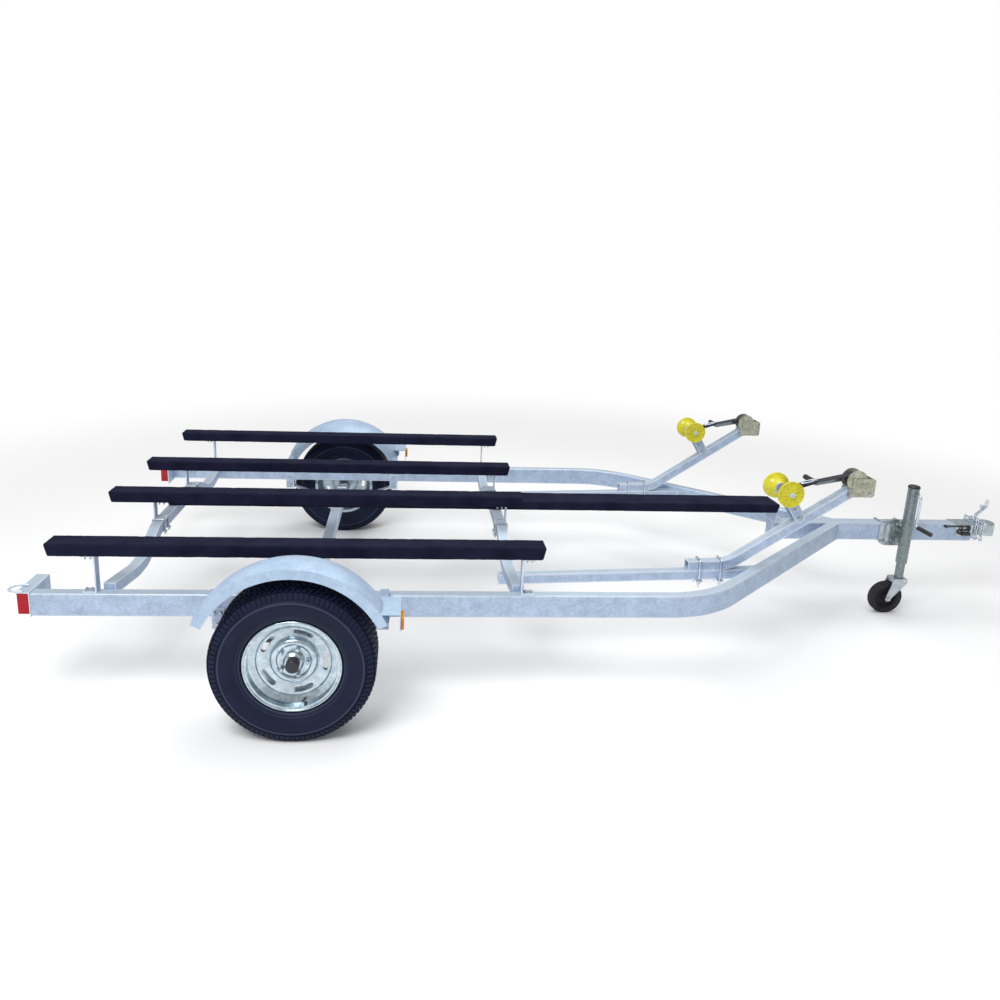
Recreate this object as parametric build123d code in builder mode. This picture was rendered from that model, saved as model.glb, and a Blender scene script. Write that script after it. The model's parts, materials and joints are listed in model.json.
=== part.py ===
from build123d import *

import os
from math import acos, atan2, cos, degrees, hypot, radians, sin, sqrt, tan

# Double watercraft trailer, parked on its tongue jack. +X points forward, +Z up, and the
# origin is on the ground under the middle of the overall length. All sizes are in
# millimetres, and a "station" is a distance forward of the axle.

# Reach of the tie-down loops behind the axle
rear_reach = 1197

# Wheels
track = 2235
tyre_diameter = 663
tyre_width = 205
tread_width = 146
bead_width = 140
bead_radius = 184
bead_height = 14
widest_rise = 4.75
shoulder_width = 17
shoulder_depth = 15
flange_radius = 196
flange_width = 158
rim_wall = 5
seat_width = 24
well_radius = 158
well_width = 46
well_offset = 12
disc_offset = 34
disc_thickness = 6
disc_crown = 4
disc_dish = 9
dish_radius = 96
ring_radius = 76
ring_width = 9
ring_height = 5
slot_circle = 128
slot_arc = 28
slot_width = 20
spoke_count = 5
lug_circle = 57
lug_radius = 9
lug_length = 16
hub_radius = 42
hub_length = 120
hub_flange_radius = 66
hub_flange_thickness = 10
hub_nose = 22
hub_nose_chamfer = 8
hub_end_wall = 4
cap_radius = 27
cap_length = 30
cap_round = 7
spindle_radius = 17.5
spindle_clearance = 0.5

# Frame tubes
rail_width = 51
rail_height = 102
rail_corner = 8
rail_bottom = 412
rail_outer_y = 952
rail_rear = -1101
rail_meet_station = 2901
rail_bend_angle = 39.5
rail_bend_radius = 505
tongue_width = 76
tongue_behind = 396
tongue_ahead = 789
cross_size = 50
cross_stations = {"rear": -800, "front": 925}
cross_end_z = 515
cross_dip_outer_y = 640
cross_dip_inner_y = 530
cross_dip_z = 474
cross_crown_y = 330
cross_crown_z = 555
cross_bend_radius = 160

# Bunks and walk board
bunk_length = 2062
bunk_width = 98
bunk_thickness = 56
bunk_edge = 9
bunk_slant = 13
bunk_top = 735
outer_bunk_y = 908
inner_bunk_y = 264
board_width = 157
board_thickness = 50
board_rear = -832
board_lap = 7
bracket_plate = 6
bracket_width = 40
bracket_foot = 58
outer_bracket_y = 924
outer_bracket_stations = {"rear": -836, "front": 932}
board_bracket_length = 70
board_bracket_width = 120

# Tail lamps
light_box_depth = 56
light_box_plate = 4
light_box_outer_y = 957
light_box_inner_y = 779
light_box_top = 521
lamp_height = 92
lamp_width = 160
lamp_gap = 2
lamp_corner = 8
loop_rod = 10
loop_width = 60
loop_hold = 30
loop_bend = 29.9

# Axle and springs
axle_size = 58
axle_end_gap = 12
spring_width = 45
leaf_thickness = 7
leaf_lengths = (690, 500, 300)
spring_eye_z = 380
spring_eye_radius = 16
hanger_plate = 6
hanger_length = 52
hanger_drop = 54
hanger_grip = 44
seat_clearance = 0.3
spring_seat_gap = 1

# Fenders
fender_lift = 10.5
fender_outer_y = 1235
fender_inner_y = 1000
fender_crown_y = 1120
fender_gap = 86.5
fender_crown = 1
fender_fall = 55
fender_lip = 40
fender_sheet = 3
fender_end_z = 531.768
arm_width = 36
arm_thickness = 6
arm_inset = 18.796
arm_outer_y = 1080
arm_rise = 20
step_top = 578
step_lap = 7.004
step_length = 84
step_inner_y = 1085
step_lip = 72
marker_width = 62
marker_height = 52
marker_depth = 13
marker_inset = 8
marker_corner = 6
marker_lift = 2

# Winch supports, posts and bow rollers
bay_y = 586
support_size = 46
support_wall = 3
support_rear = 880
support_rise = 1.9
post_foot_station = 1795
post_bend_station = 1995
post_rise = 34
post_top_station = 2560
post_bend_radius = 190
roller_station = 2229
roller_z = 888
roller_radius = 63
roller_waist = 27
roller_half_length = 76
roller_disc = 9
roller_bolt_radius = 8
roller_clearance = 0.5
roller_plate = 5
roller_plate_width = 52
roller_bolt_station = 2314
roller_bolt_drop = 133
bolt_head = 12
bell_flare = 0.3
roller_ribs = 10
rib_width = 9
rib_depth = 4
rib_ring = 20
rib_rim = 6
drum_station = 2572
drum_z = 945
gear_radius = 50
gear_thickness = 3
drum_core = 14
wound_radius = 29
strap_width = 36
strap_thickness = 3
strap_join = 0.45
winch_plate = 4
winch_gap = 1
cheek_rear = 22
cheek_front = 90
cheek_rise = 12
cheek_drop = 80
cheek_corner = 14
foot_rear = 38
foot_rise = 40
foot_bolt = 14
foot_pad = 10
drum_shaft = 9
handle_length = 165
handle_width = 24
handle_thickness = 6
handle_fall = 32
grip_radius = 13
grip_length = 90
grip_lap = 6

# Jack
jack_ahead = 349
jack_y = -100
jack_tube_radius = 28.5
jack_leg_radius = 22.5
jack_clearance = 0.5
jack_tube_bottom = 305
jack_tube_top = 748
jack_cap = 14
jack_cap_rim = 2
jack_cap_round = 9
leg_bottom = 214
leg_top = 620
pivot_z = 463
pivot_radius = 15
pivot_collar = 34
pivot_end_gap = 1
bracket_behind = 118
bracket_before = 26
bracket_top = 540
bracket_bottom = 384
bracket_thickness = 8
bracket_corner = 12
bracket_sweep = 46
riser_setback = 78
riser_width = 20
riser_height = 112
riser_depth = 12
riser_corner = 6
clamp_rod = 10
clamp_bend = 14
clamp_tail = 16
clamp_places = {"rear": -102, "front": 14}
caster_radius = 93
caster_width = 40
caster_hub_radius = 58
caster_boss_radius = 19
caster_web = 8
caster_flange = 4
caster_dish = 4
caster_tyre_round = 10
caster_trail = 63
caster_pin_radius = 8
fork_plate = 6
fork_gap = 6
fork_front = 34
fork_rear = 44
fork_skirt = 24
fork_eye = 16
caster_pin_end = 5
king_pin_radius = 10
king_pin_head_radius = 15
king_pin_head = 6
crank_z = 716
crank_rod = 7
crank_boss = 13
crank_boss_length = 10
crank_reach = 28
crank_drop = 172
crank_bend = 13
crank_foot = 18
crank_grip_radius = 12
crank_grip_length = 90

# Coupler
ball_clearance_radius = 25.7
coupler_neck = 106
coupler_lap = 105
coupler_wall = 5
coupler_nose_radius = 44
coupler_depth = 74
coupler_round = 12
neck_half = 28
neck_taper = 22
neck_length = 44
socket_depth = 46
latch_width = 20
latch_thickness = 7
latch_top = 648
latch_setback = 74
latch_foot = 40
latch_rise = 40
latch_reach = 56
latch_lean = 60
latch_bend = 9

# Safety chains and wiring lead
link_wire = 6
link_width = 20
link_inner = 29
link_corner = 0.9
link_play = 0.4
side_links = 4
chain_behind = 17
chain_ahead = 20
chain_bolt_radius = 3.6
chain_head_radius = 7
chain_head = 4
chain_tab = 40
lead_radius = 4
lead_start = 168
lead_front = 22
lead_rear = 92
lead_top_z = 503
lead_pass = 22
lead_bend = 10.5
grommet_radius = 8
grommet_rim = 2
clip_wall = 2
clip_width = 10
clip_setbacks = (78, 35)
plug_length = 48
plug_height = 20
plug_depth = 12
plug_corner = 4
plug_setback = 68

# Values worked out from the sizes above
axle_z = tyre_diameter / 2
wheel_y = track / 2
sidewall_middle = (bead_radius + bead_height + axle_z - shoulder_depth) / 2
widest_radius = sidewall_middle + widest_rise
fender_centre_z = axle_z + fender_lift
fender_crease_radius = tyre_diameter / 2 + fender_gap
fender_crown_radius = fender_crease_radius + fender_crown
fender_inner_radius = fender_crease_radius - fender_fall
fender_half_angle = degrees(acos((fender_end_z - fender_centre_z) / fender_crease_radius))
step_rear = sqrt(fender_crease_radius**2 - (step_top - fender_centre_z) ** 2) - step_lap
step_front = step_rear + step_length
rail_y = rail_outer_y - rail_width / 2
rail_inner_y = rail_outer_y - rail_width
rail_top = rail_bottom + rail_height
rail_middle_z = rail_bottom + rail_height / 2
arm_above_centre = rail_top + arm_rise - fender_centre_z
arm_station = sqrt((fender_crease_radius - arm_inset) ** 2 - arm_above_centre**2)
rail_bend_station = rail_meet_station - rail_y / tan(radians(rail_bend_angle))
tongue_rear = rail_meet_station - tongue_behind
tongue_front = rail_meet_station + tongue_ahead
board_front = tongue_rear + board_lap
jack_station = rail_meet_station + jack_ahead
coupler_rear = tongue_front - coupler_lap
ball_station = tongue_front + coupler_neck
latch_station = ball_station - latch_setback
front_reach = ball_station + coupler_nose_radius
axle_x = (rear_reach - front_reach) / 2
bunk_bottom = bunk_top - bunk_thickness
board_bottom = cross_crown_z + cross_size / 2
roller_bolt_z = roller_z - roller_bolt_drop
handle_run = hypot(handle_length, handle_fall)
handle_lean = degrees(atan2(handle_fall, handle_length))

os.makedirs("parts", exist_ok=True)


def side_view(y):
    """Upright plane along the trailer: local x is the station, local y the height."""
    return Plane(origin=(axle_x, y, 0), x_dir=(1, 0, 0), z_dir=(0, -1, 0))


def end_view(station):
    """Upright plane across the trailer: local x is Y, local y the height."""
    return Plane(origin=(axle_x + station, 0, 0), x_dir=(0, 1, 0), z_dir=(1, 0, 0))


def top_view(z):
    """Level plane: local x is the station, local y is Y."""
    return Plane(origin=(axle_x, 0, z))


def write(piece, label):
    """Names a finished piece and writes it."""
    piece.part.label = label
    export_step(piece.part, f"parts/{label}.step")


def write_sides(piece, label):
    """Writes the right-hand piece and its mirror image as two nodes."""
    with BuildPart() as twin:
        mirror(piece.part, about=Plane.XZ)
    write(piece, f"{label}_right")
    write(twin, f"{label}_left")


def write_both(piece, label):
    """Writes the right-hand piece and its mirror image as one node."""
    with BuildPart() as pair:
        add(piece.part)
        mirror(piece.part, about=Plane.XZ)
    write(pair, label)


# Side rails, bent inward to meet the tongue
with BuildPart() as side_rail:
    with BuildLine(top_view(rail_middle_z)) as route:
        FilletPolyline(
            (rail_rear, -rail_y),
            (rail_bend_station, -rail_y),
            (rail_meet_station, 0),
            radius=rail_bend_radius,
        )
    with BuildSketch(Plane(route.line @ 0, x_dir=(0, 1, 0), z_dir=(1, 0, 0))):
        RectangleRounded(rail_width, rail_height, rail_corner)
    sweep(path=route.line)
    split(bisect_by=Plane.XZ.offset(tongue_width / 2), keep=Keep.TOP)
write_sides(side_rail, "side_rail")

# Tongue
with BuildPart() as tongue:
    with BuildSketch(end_view(tongue_rear)):
        with Locations((0, rail_middle_z)):
            RectangleRounded(tongue_width, rail_height, rail_corner)
    extrude(amount=tongue_front - tongue_rear)
write(tongue, "tongue")

# Cross-members, dipped under each craft and raised in the middle
for place, station in cross_stations.items():
    with BuildPart() as cross_member:
        overrun_y = rail_inner_y + rail_width / 2
        slope = (cross_end_z - cross_dip_z) / (rail_inner_y - cross_dip_outer_y)
        overrun_z = cross_end_z + slope * rail_width / 2
        with BuildLine(end_view(station)) as route:
            FilletPolyline(
                (-overrun_y, overrun_z),
                (-cross_dip_outer_y, cross_dip_z),
                (-cross_dip_inner_y, cross_dip_z),
                (-cross_crown_y, cross_crown_z),
                (cross_crown_y, cross_crown_z),
                (cross_dip_inner_y, cross_dip_z),
                (cross_dip_outer_y, cross_dip_z),
                (overrun_y, overrun_z),
                radius=cross_bend_radius,
            )
        with BuildSketch(Plane(route.line @ 0, x_dir=(1, 0, 0), z_dir=route.line % 0)):
            Rectangle(cross_size, cross_size)
        sweep(path=route.line)
        split(bisect_by=Plane.XZ.offset(rail_inner_y), keep=Keep.BOTTOM)
        split(bisect_by=Plane.XZ.offset(-rail_inner_y), keep=Keep.TOP)
    write(cross_member, f"{place}_cross_member")

# Carpeted bunks and walk board
bunk_rows = (
    # name, centre Y
    ("bunk_outer_right", -outer_bunk_y),
    ("bunk_inner_right", -inner_bunk_y),
    ("bunk_inner_left", inner_bunk_y),
    ("bunk_outer_left", outer_bunk_y),
)


def carpeted_board(y, rear, front, bottom, width, thickness):
    """Board wrapped in carpet: slanted ends, shorter below, and rounded long edges."""
    with BuildPart() as board:
        with BuildSketch(side_view(y)):
            with BuildLine():
                Polyline(
                    (rear, bottom + thickness),
                    (front, bottom + thickness),
                    (front - bunk_slant, bottom),
                    (rear + bunk_slant, bottom),
                    close=True,
                )
            make_face()
        extrude(amount=width / 2, both=True)
        fillet(board.edges().filter_by(Axis.X), radius=bunk_edge)
    return board


for label, y in bunk_rows:
    bunk = carpeted_board(
        y, -bunk_length / 2, bunk_length / 2, bunk_bottom, bunk_width, bunk_thickness
    )
    write(bunk, label)
walk_board = carpeted_board(
    0, board_rear, board_front, board_bottom, board_width, board_thickness
)
write(walk_board, "walk_board")


def bunk_bracket(station, y, foot_z, direction):
    """Channel-shaped bracket from foot_z up to the bunk, flanges pointing one way."""
    with BuildPart() as bracket:
        with BuildSketch(side_view(y)):
            with BuildLine():
                reach = station + direction * bracket_foot
                inside = station + direction * bracket_plate
                Polyline(
                    (reach, foot_z),
                    (station, foot_z),
                    (station, bunk_bottom),
                    (reach, bunk_bottom),
                    (reach, bunk_bottom - bracket_plate),
                    (inside, bunk_bottom - bracket_plate),
                    (inside, foot_z + bracket_plate),
                    (reach, foot_z + bracket_plate),
                    close=True,
                )
            make_face()
        extrude(amount=bracket_width / 2, both=True)
    return bracket


outer_rear = bunk_bracket(outer_bracket_stations["rear"], -outer_bracket_y, rail_top, -1)
outer_front = bunk_bracket(outer_bracket_stations["front"], -outer_bracket_y, rail_top, 1)
with BuildPart() as outer_brackets:
    add(outer_rear.part)
    add(outer_front.part)
write_both(outer_brackets, "outer_bunk_brackets")

inner_rear = bunk_bracket(
    cross_stations["rear"] - cross_size / 2, -inner_bunk_y, board_bottom, 1
)
inner_front = bunk_bracket(
    cross_stations["front"] + cross_size / 2, -inner_bunk_y, board_bottom, -1
)
with BuildPart() as inner_brackets:
    add(inner_rear.part)
    add(inner_front.part)
write_both(inner_brackets, "inner_bunk_brackets")

# Channel that carries the walk board's front end on the tongue
with BuildPart() as board_bracket:
    with BuildSketch(side_view(0)):
        with BuildLine():
            front = board_front - bracket_plate
            rear = front - board_bracket_length
            Polyline(
                (tongue_rear + board_bracket_length, rail_top),
                (tongue_rear, rail_top),
                (tongue_rear, board_bottom - bracket_plate),
                (rear, board_bottom - bracket_plate),
                (rear, board_bottom),
                (tongue_rear + bracket_plate, board_bottom),
                (tongue_rear + bracket_plate, rail_top + bracket_plate),
                (tongue_rear + board_bracket_length, rail_top + bracket_plate),
                close=True,
            )
        make_face()
    extrude(amount=board_bracket_width / 2, both=True)
write(board_bracket, "walk_board_bracket")

# Tail light boxes, lamps and tie-down loops
box_rear = rail_rear - light_box_depth
with BuildPart() as light_box:
    with BuildSketch(side_view(-light_box_inner_y)):
        with BuildLine():
            Polyline(
                (rail_rear, rail_bottom),
                (rail_rear, light_box_top),
                (box_rear, light_box_top),
                (box_rear, light_box_top - light_box_plate),
                (rail_rear - light_box_plate, light_box_top - light_box_plate),
                (rail_rear - light_box_plate, rail_bottom),
                close=True,
            )
        make_face()
    extrude(amount=light_box_outer_y - light_box_inner_y)
write_both(light_box, "tail_light_boxes")

lamp_top = light_box_top - light_box_plate
with BuildPart() as tail_lamp:
    with BuildSketch(side_view(-light_box_outer_y + lamp_gap)):
        with Locations((rail_rear - light_box_plate, lamp_top)):
            Rectangle(
                light_box_depth - light_box_plate - lamp_gap,
                lamp_height,
                align=(Align.MAX, Align.MAX),
            )
    extrude(amount=-lamp_width)
    fillet(tail_lamp.edges().filter_by(Axis.Z).group_by(Axis.X)[0], radius=lamp_corner)
write_both(tail_lamp, "tail_lamps")

with BuildPart() as tie_loop:
    loop_front = box_rear + loop_hold
    loop_back = -rear_reach + loop_rod / 2
    with BuildLine(top_view(light_box_top + loop_rod / 2)) as route:
        FilletPolyline(
            (loop_front, -rail_y - loop_width / 2),
            (loop_back, -rail_y - loop_width / 2),
            (loop_back, -rail_y + loop_width / 2),
            (loop_front, -rail_y + loop_width / 2),
            radius=loop_bend,
        )
    with BuildSketch(Plane(route.line @ 0, z_dir=route.line % 0)):
        Circle(loop_rod / 2)
    sweep(path=route.line)
write_both(tie_loop, "tie_down_loops")

# Axle with its spindles
wheel_axis = Axis((axle_x, 0, axle_z), (0, 1, 0))
hub_outer_y = wheel_y + disc_offset
beam_end = hub_outer_y - hub_length - axle_end_gap
with BuildPart() as axle:
    with BuildSketch(end_view(0)):
        with Locations((0, axle_z)):
            Rectangle(2 * beam_end, axle_size)
    extrude(amount=axle_size / 2, both=True)
    with BuildSketch(Plane(origin=(axle_x, 0, axle_z), z_dir=(0, 1, 0))):
        Circle(spindle_radius)
    extrude(amount=hub_outer_y - hub_flange_thickness, both=True)
write(axle, "axle")

# Leaf springs under the axle, with their hangers
half_span = leaf_lengths[0] / 2
spring_mid_z = axle_z - axle_size / 2 - spring_seat_gap
spring_sag = spring_eye_z - spring_mid_z
spring_radius = (half_span**2 + spring_sag**2) / (2 * spring_sag)
with BuildPart() as leaf_spring:
    for row, length in enumerate(leaf_lengths):
        with BuildSketch(side_view(-rail_y)):
            with Locations((0, spring_mid_z + spring_radius)):
                Circle(spring_radius + (row + 1) * leaf_thickness)
                Circle(spring_radius + row * leaf_thickness, mode=Mode.SUBTRACT)
            with Locations((0, spring_mid_z)):
                Rectangle(length, 2 * spring_radius, mode=Mode.INTERSECT)
            with Locations((0, spring_mid_z + 2 * spring_sag)):
                Rectangle(
                    2 * spring_radius,
                    4 * spring_radius,
                    align=(Align.CENTER, Align.MIN),
                    mode=Mode.SUBTRACT,
                )
        extrude(amount=spring_width / 2, both=True)
    with BuildSketch(side_view(-rail_y)):
        with Locations((-half_span, spring_eye_z), (half_span, spring_eye_z)):
            Circle(spring_eye_radius)
    extrude(amount=spring_width / 2, both=True)
write_both(leaf_spring, "leaf_springs")

with BuildPart() as hangers:
    for station in (-half_span, half_span):
        with BuildSketch(end_view(station - hanger_length / 2)):
            outside = spring_width / 2 + seat_clearance + hanger_plate
            with Locations((-rail_y, rail_bottom)):
                Rectangle(
                    2 * outside, hanger_drop, align=(Align.CENTER, Align.MAX)
                )
            with Locations((-rail_y, rail_bottom - hanger_plate)):
                Rectangle(
                    2 * (outside - hanger_plate),
                    hanger_drop,
                    align=(Align.CENTER, Align.MAX),
                    mode=Mode.SUBTRACT,
                )
        extrude(amount=hanger_length)
        with BuildSketch(end_view(station - hanger_length / 2)):
            with Locations((-rail_y, rail_bottom)):
                Rectangle(2 * outside, hanger_grip, align=(Align.CENTER, Align.MIN))
                Rectangle(
                    rail_width, hanger_grip, align=(Align.CENTER, Align.MIN), mode=Mode.SUBTRACT
                )
        extrude(amount=hanger_length)
write_both(hangers, "spring_hangers")

# Wheels: tyre, rim and hub, built on the right-hand side
with BuildPart() as tyre:
    with BuildSketch(end_view(0)):
        with BuildLine():
            for way in (-1, 1):
                bead_y = -wheel_y + way * bead_width / 2
                edge_y = -wheel_y + way * tread_width / 2
                bead_top = (bead_y, axle_z + bead_radius + bead_height)
                widest = (-wheel_y + way * tyre_width / 2, axle_z + widest_radius)
                shoulder = (edge_y + way * shoulder_width, 2 * axle_z - shoulder_depth)
                rounding = (
                    edge_y + way * shoulder_width * sin(radians(45)),
                    2 * axle_z - shoulder_depth * (1 - cos(radians(45))),
                )
                Line((bead_y, axle_z + bead_radius), bead_top)
                ThreePointArc(bead_top, widest, shoulder)
                ThreePointArc(shoulder, rounding, (edge_y, 2 * axle_z))
            for z in (axle_z + bead_radius, 2 * axle_z):
                half = (bead_width if z < 2 * axle_z else tread_width) / 2
                Line((-wheel_y - half, z), (-wheel_y + half, z))
        make_face()
    revolve(axis=wheel_axis)
write_sides(tyre, "tyre")

# Rim: flanges, bead seats and a dropped centre, with a dished disc in the drop
disc_y = -wheel_y - disc_offset
disc_outer = well_radius - rim_wall / 2
well_middle = -wheel_y - well_offset
slot_line = CenterArc((0, 0), slot_circle, -slot_arc / 2, slot_arc)
with BuildPart() as rim:
    with BuildSketch(end_view(0)):
        seat = bead_radius - seat_clearance
        half = flange_width / 2
        lip = bead_width / 2 + seat_clearance
        barrel = (
            # Y and radius on the tyre's side of the wall
            (-wheel_y - lip, seat),
            (-wheel_y - lip + seat_width, seat),
            (well_middle - well_width / 2, well_radius),
            (well_middle + well_width / 2, well_radius),
            (-wheel_y + lip - seat_width, seat),
            (-wheel_y + lip, seat),
        )
        with BuildLine():
            Polyline(
                (-wheel_y - half, axle_z + flange_radius),
                (-wheel_y - lip, axle_z + flange_radius),
                *[(y, axle_z + radius) for y, radius in barrel],
                (-wheel_y + lip, axle_z + flange_radius),
                (-wheel_y + half, axle_z + flange_radius),
                (-wheel_y + half, axle_z + seat - rim_wall),
                *[(y, axle_z + radius - rim_wall) for y, radius in reversed(barrel[1:-1])],
                (-wheel_y - half, axle_z + seat - rim_wall),
                close=True,
            )
        make_face()
    revolve(axis=wheel_axis)
    disc_face = (
        # radius and height outward of the wheel's mounting face
        (hub_radius, 0),
        (ring_radius - ring_width, 0),
        (ring_radius - ring_width / 2, ring_height),
        (ring_radius, 0),
        (dish_radius, -disc_dish),
        (disc_outer - disc_dish, disc_crown),
        (disc_outer, disc_crown - disc_thickness),
    )
    with BuildSketch(end_view(0)):
        with BuildLine():
            Polyline(
                *[(disc_y - height, axle_z + radius) for radius, height in disc_face],
                (disc_y + disc_dish + disc_thickness, axle_z + disc_outer),
                (disc_y + disc_dish + disc_thickness, axle_z + dish_radius),
                (disc_y + disc_thickness, axle_z + ring_radius),
                (disc_y + disc_thickness, axle_z + hub_radius),
                close=True,
            )
        make_face()
    revolve(axis=wheel_axis)
    disc_plane = Plane(
        origin=(axle_x, disc_y, axle_z), x_dir=(1, 0, 0), z_dir=(0, -1, 0)
    )
    with BuildSketch(disc_plane):
        with PolarLocations(0, spoke_count):
            SlotArc(slot_line, slot_width)
    extrude(amount=disc_dish + 2 * disc_thickness, both=True, mode=Mode.SUBTRACT)
    with BuildSketch(disc_plane):
        with PolarLocations(lug_circle, spoke_count):
            RegularPolygon(lug_radius, 6)
    extrude(amount=lug_length)
write_sides(rim, "rim")

# Hubs with their bearing caps
flange_y = disc_y + disc_thickness
nose_y = disc_y - hub_nose
with BuildPart() as hub:
    with BuildSketch(end_view(0)):
        with BuildLine():
            bore = spindle_radius + spindle_clearance
            Polyline(
                (nose_y, axle_z),
                (nose_y, axle_z + hub_radius - seat_clearance - hub_nose_chamfer),
                (nose_y + hub_nose_chamfer, axle_z + hub_radius - seat_clearance),
                (flange_y, axle_z + hub_radius - seat_clearance),
                (flange_y, axle_z + hub_flange_radius),
                (flange_y + hub_flange_thickness, axle_z + hub_flange_radius),
                (flange_y + hub_flange_thickness, axle_z + hub_radius),
                (disc_y + hub_length, axle_z + hub_radius),
                (disc_y + hub_length, axle_z + bore),
                (disc_y + hub_end_wall, axle_z + bore),
                (disc_y + hub_end_wall, axle_z),
                close=True,
            )
        make_face()
    revolve(axis=wheel_axis)
write_sides(hub, "hub")

with BuildPart() as hub_cap:
    with BuildSketch(Plane(origin=(axle_x, nose_y, axle_z), z_dir=(0, -1, 0))):
        Circle(cap_radius)
    extrude(amount=cap_length)
    fillet(hub_cap.faces().sort_by(Axis.Y)[0].edges(), radius=cap_round)
write_sides(hub_cap, "hub_cap")

# Fenders: rolled sheet with a crowned section, a front step and two arms to the rail
start = radians(-fender_half_angle)
fender_plane = Plane(
    origin=(axle_x, 0, fender_centre_z),
    x_dir=(0, 1, 0),
    z_dir=(cos(start), 0, -sin(start)),
)
fender_axis = Axis((axle_x, 0, fender_centre_z), (0, 1, 0))
with BuildPart() as fender:
    with BuildSketch(fender_plane):
        with BuildLine():
            inside_y = fender_outer_y - fender_sheet
            inside_radius = fender_crease_radius - fender_sheet
            lip_radius = fender_crease_radius - fender_lip
            inner_edge = (-fender_inner_y, fender_inner_radius)
            inner_edge_below = (-fender_inner_y, fender_inner_radius - fender_sheet)
            ThreePointArc(
                (-fender_outer_y, fender_crease_radius),
                (-fender_crown_y, fender_crown_radius),
                inner_edge,
            )
            ThreePointArc(
                (-inside_y, inside_radius),
                (-fender_crown_y, fender_crown_radius - fender_sheet),
                inner_edge_below,
            )
            Line(inner_edge, inner_edge_below)
            Polyline(
                (-fender_outer_y, fender_crease_radius),
                (-fender_outer_y, lip_radius),
                (-inside_y, lip_radius),
                (-inside_y, inside_radius),
            )
        make_face()
    revolve(axis=fender_axis, revolution_arc=2 * fender_half_angle)
    for station in (-arm_station, arm_station):
        with BuildSketch(end_view(station - arm_width / 2)):
            with BuildLine():
                riser_y = -rail_outer_y - arm_thickness
                Polyline(
                    (-rail_inner_y, rail_top),
                    (riser_y, rail_top),
                    (riser_y, rail_top + arm_rise),
                    (-arm_outer_y, rail_top + arm_rise),
                    (-arm_outer_y, rail_top + arm_rise + arm_thickness),
                    (riser_y + arm_thickness, rail_top + arm_rise + arm_thickness),
                    (riser_y + arm_thickness, rail_top + arm_thickness),
                    (-rail_inner_y, rail_top + arm_thickness),
                    close=True,
                )
            make_face()
        extrude(amount=arm_width)
    with BuildSketch(side_view(-step_inner_y)):
        with BuildLine():
            Polyline(
                (step_rear, step_top),
                (step_front, step_top),
                (step_front, step_top - step_lip),
                (step_front - fender_sheet, step_top - step_lip),
                (step_front - fender_sheet, step_top - fender_sheet),
                (step_rear, step_top - fender_sheet),
                close=True,
            )
        make_face()
    extrude(amount=fender_outer_y - step_inner_y)
write_sides(fender, "fender")

with BuildPart() as marker_lamp:
    with BuildSketch(end_view(step_front)):
        marker_z = step_top - step_lip + marker_lift + marker_height / 2
        with Locations((-fender_outer_y + marker_inset + marker_width / 2, marker_z)):
            RectangleRounded(marker_width, marker_height, marker_corner)
    extrude(amount=marker_depth)
write_both(marker_lamp, "marker_lamps")

# Winch supports, from under the front cross-member to the inner face of the bent rail
support_slope = tan(radians(support_rise))
support_contact_station = cross_stations["front"] + cross_size / 2
support_half = support_size / 2 / cos(radians(support_rise))
rail_turn = radians(rail_bend_angle)
rail_inner_diagonal = Plane(
    origin=(
        axle_x + rail_bend_station - rail_width / 2 * sin(rail_turn),
        -rail_y + rail_width / 2 * cos(rail_turn),
        rail_middle_z,
    ),
    z_dir=(-sin(rail_turn), cos(rail_turn), 0),
)


def support_top(station):
    """Height of the sloping top face of the winch supports."""
    return cross_dip_z - cross_size / 2 + (station - support_contact_station) * support_slope


with BuildPart() as winch_support:
    overrun = tongue_rear
    with BuildLine(side_view(-bay_y)) as route:
        Line(
            (support_rear, support_top(support_rear) - support_half),
            (overrun, support_top(overrun) - support_half),
        )
    with BuildSketch(Plane(route.line @ 0, x_dir=(0, 1, 0), z_dir=route.line % 0)):
        Rectangle(support_size, support_size)
        inside = support_size - 2 * support_wall
        Rectangle(inside, inside, mode=Mode.SUBTRACT)
    sweep(path=route.line)
    split(bisect_by=rail_inner_diagonal, keep=Keep.TOP)
write_both(winch_support, "winch_supports")

# Winch posts, clamped on the supports and bent upward
foot_z = support_top(post_foot_station) + support_half
bend_z = support_top(post_bend_station) + support_half
post_slope = tan(radians(post_rise))
post_top_z = bend_z + (post_top_station - post_bend_station) * post_slope
with BuildPart() as winch_post:
    with BuildLine(side_view(-bay_y)) as route:
        FilletPolyline(
            (post_foot_station, foot_z),
            (post_bend_station, bend_z),
            (post_top_station, post_top_z),
            radius=post_bend_radius,
        )
    with BuildSketch(Plane(route.line @ 0, x_dir=(0, 1, 0), z_dir=route.line % 0)):
        Rectangle(support_size, support_size)
        inside = support_size - 2 * support_wall
        Rectangle(inside, inside, mode=Mode.SUBTRACT)
    sweep(path=route.line)
write_sides(winch_post, "winch_post")

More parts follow.
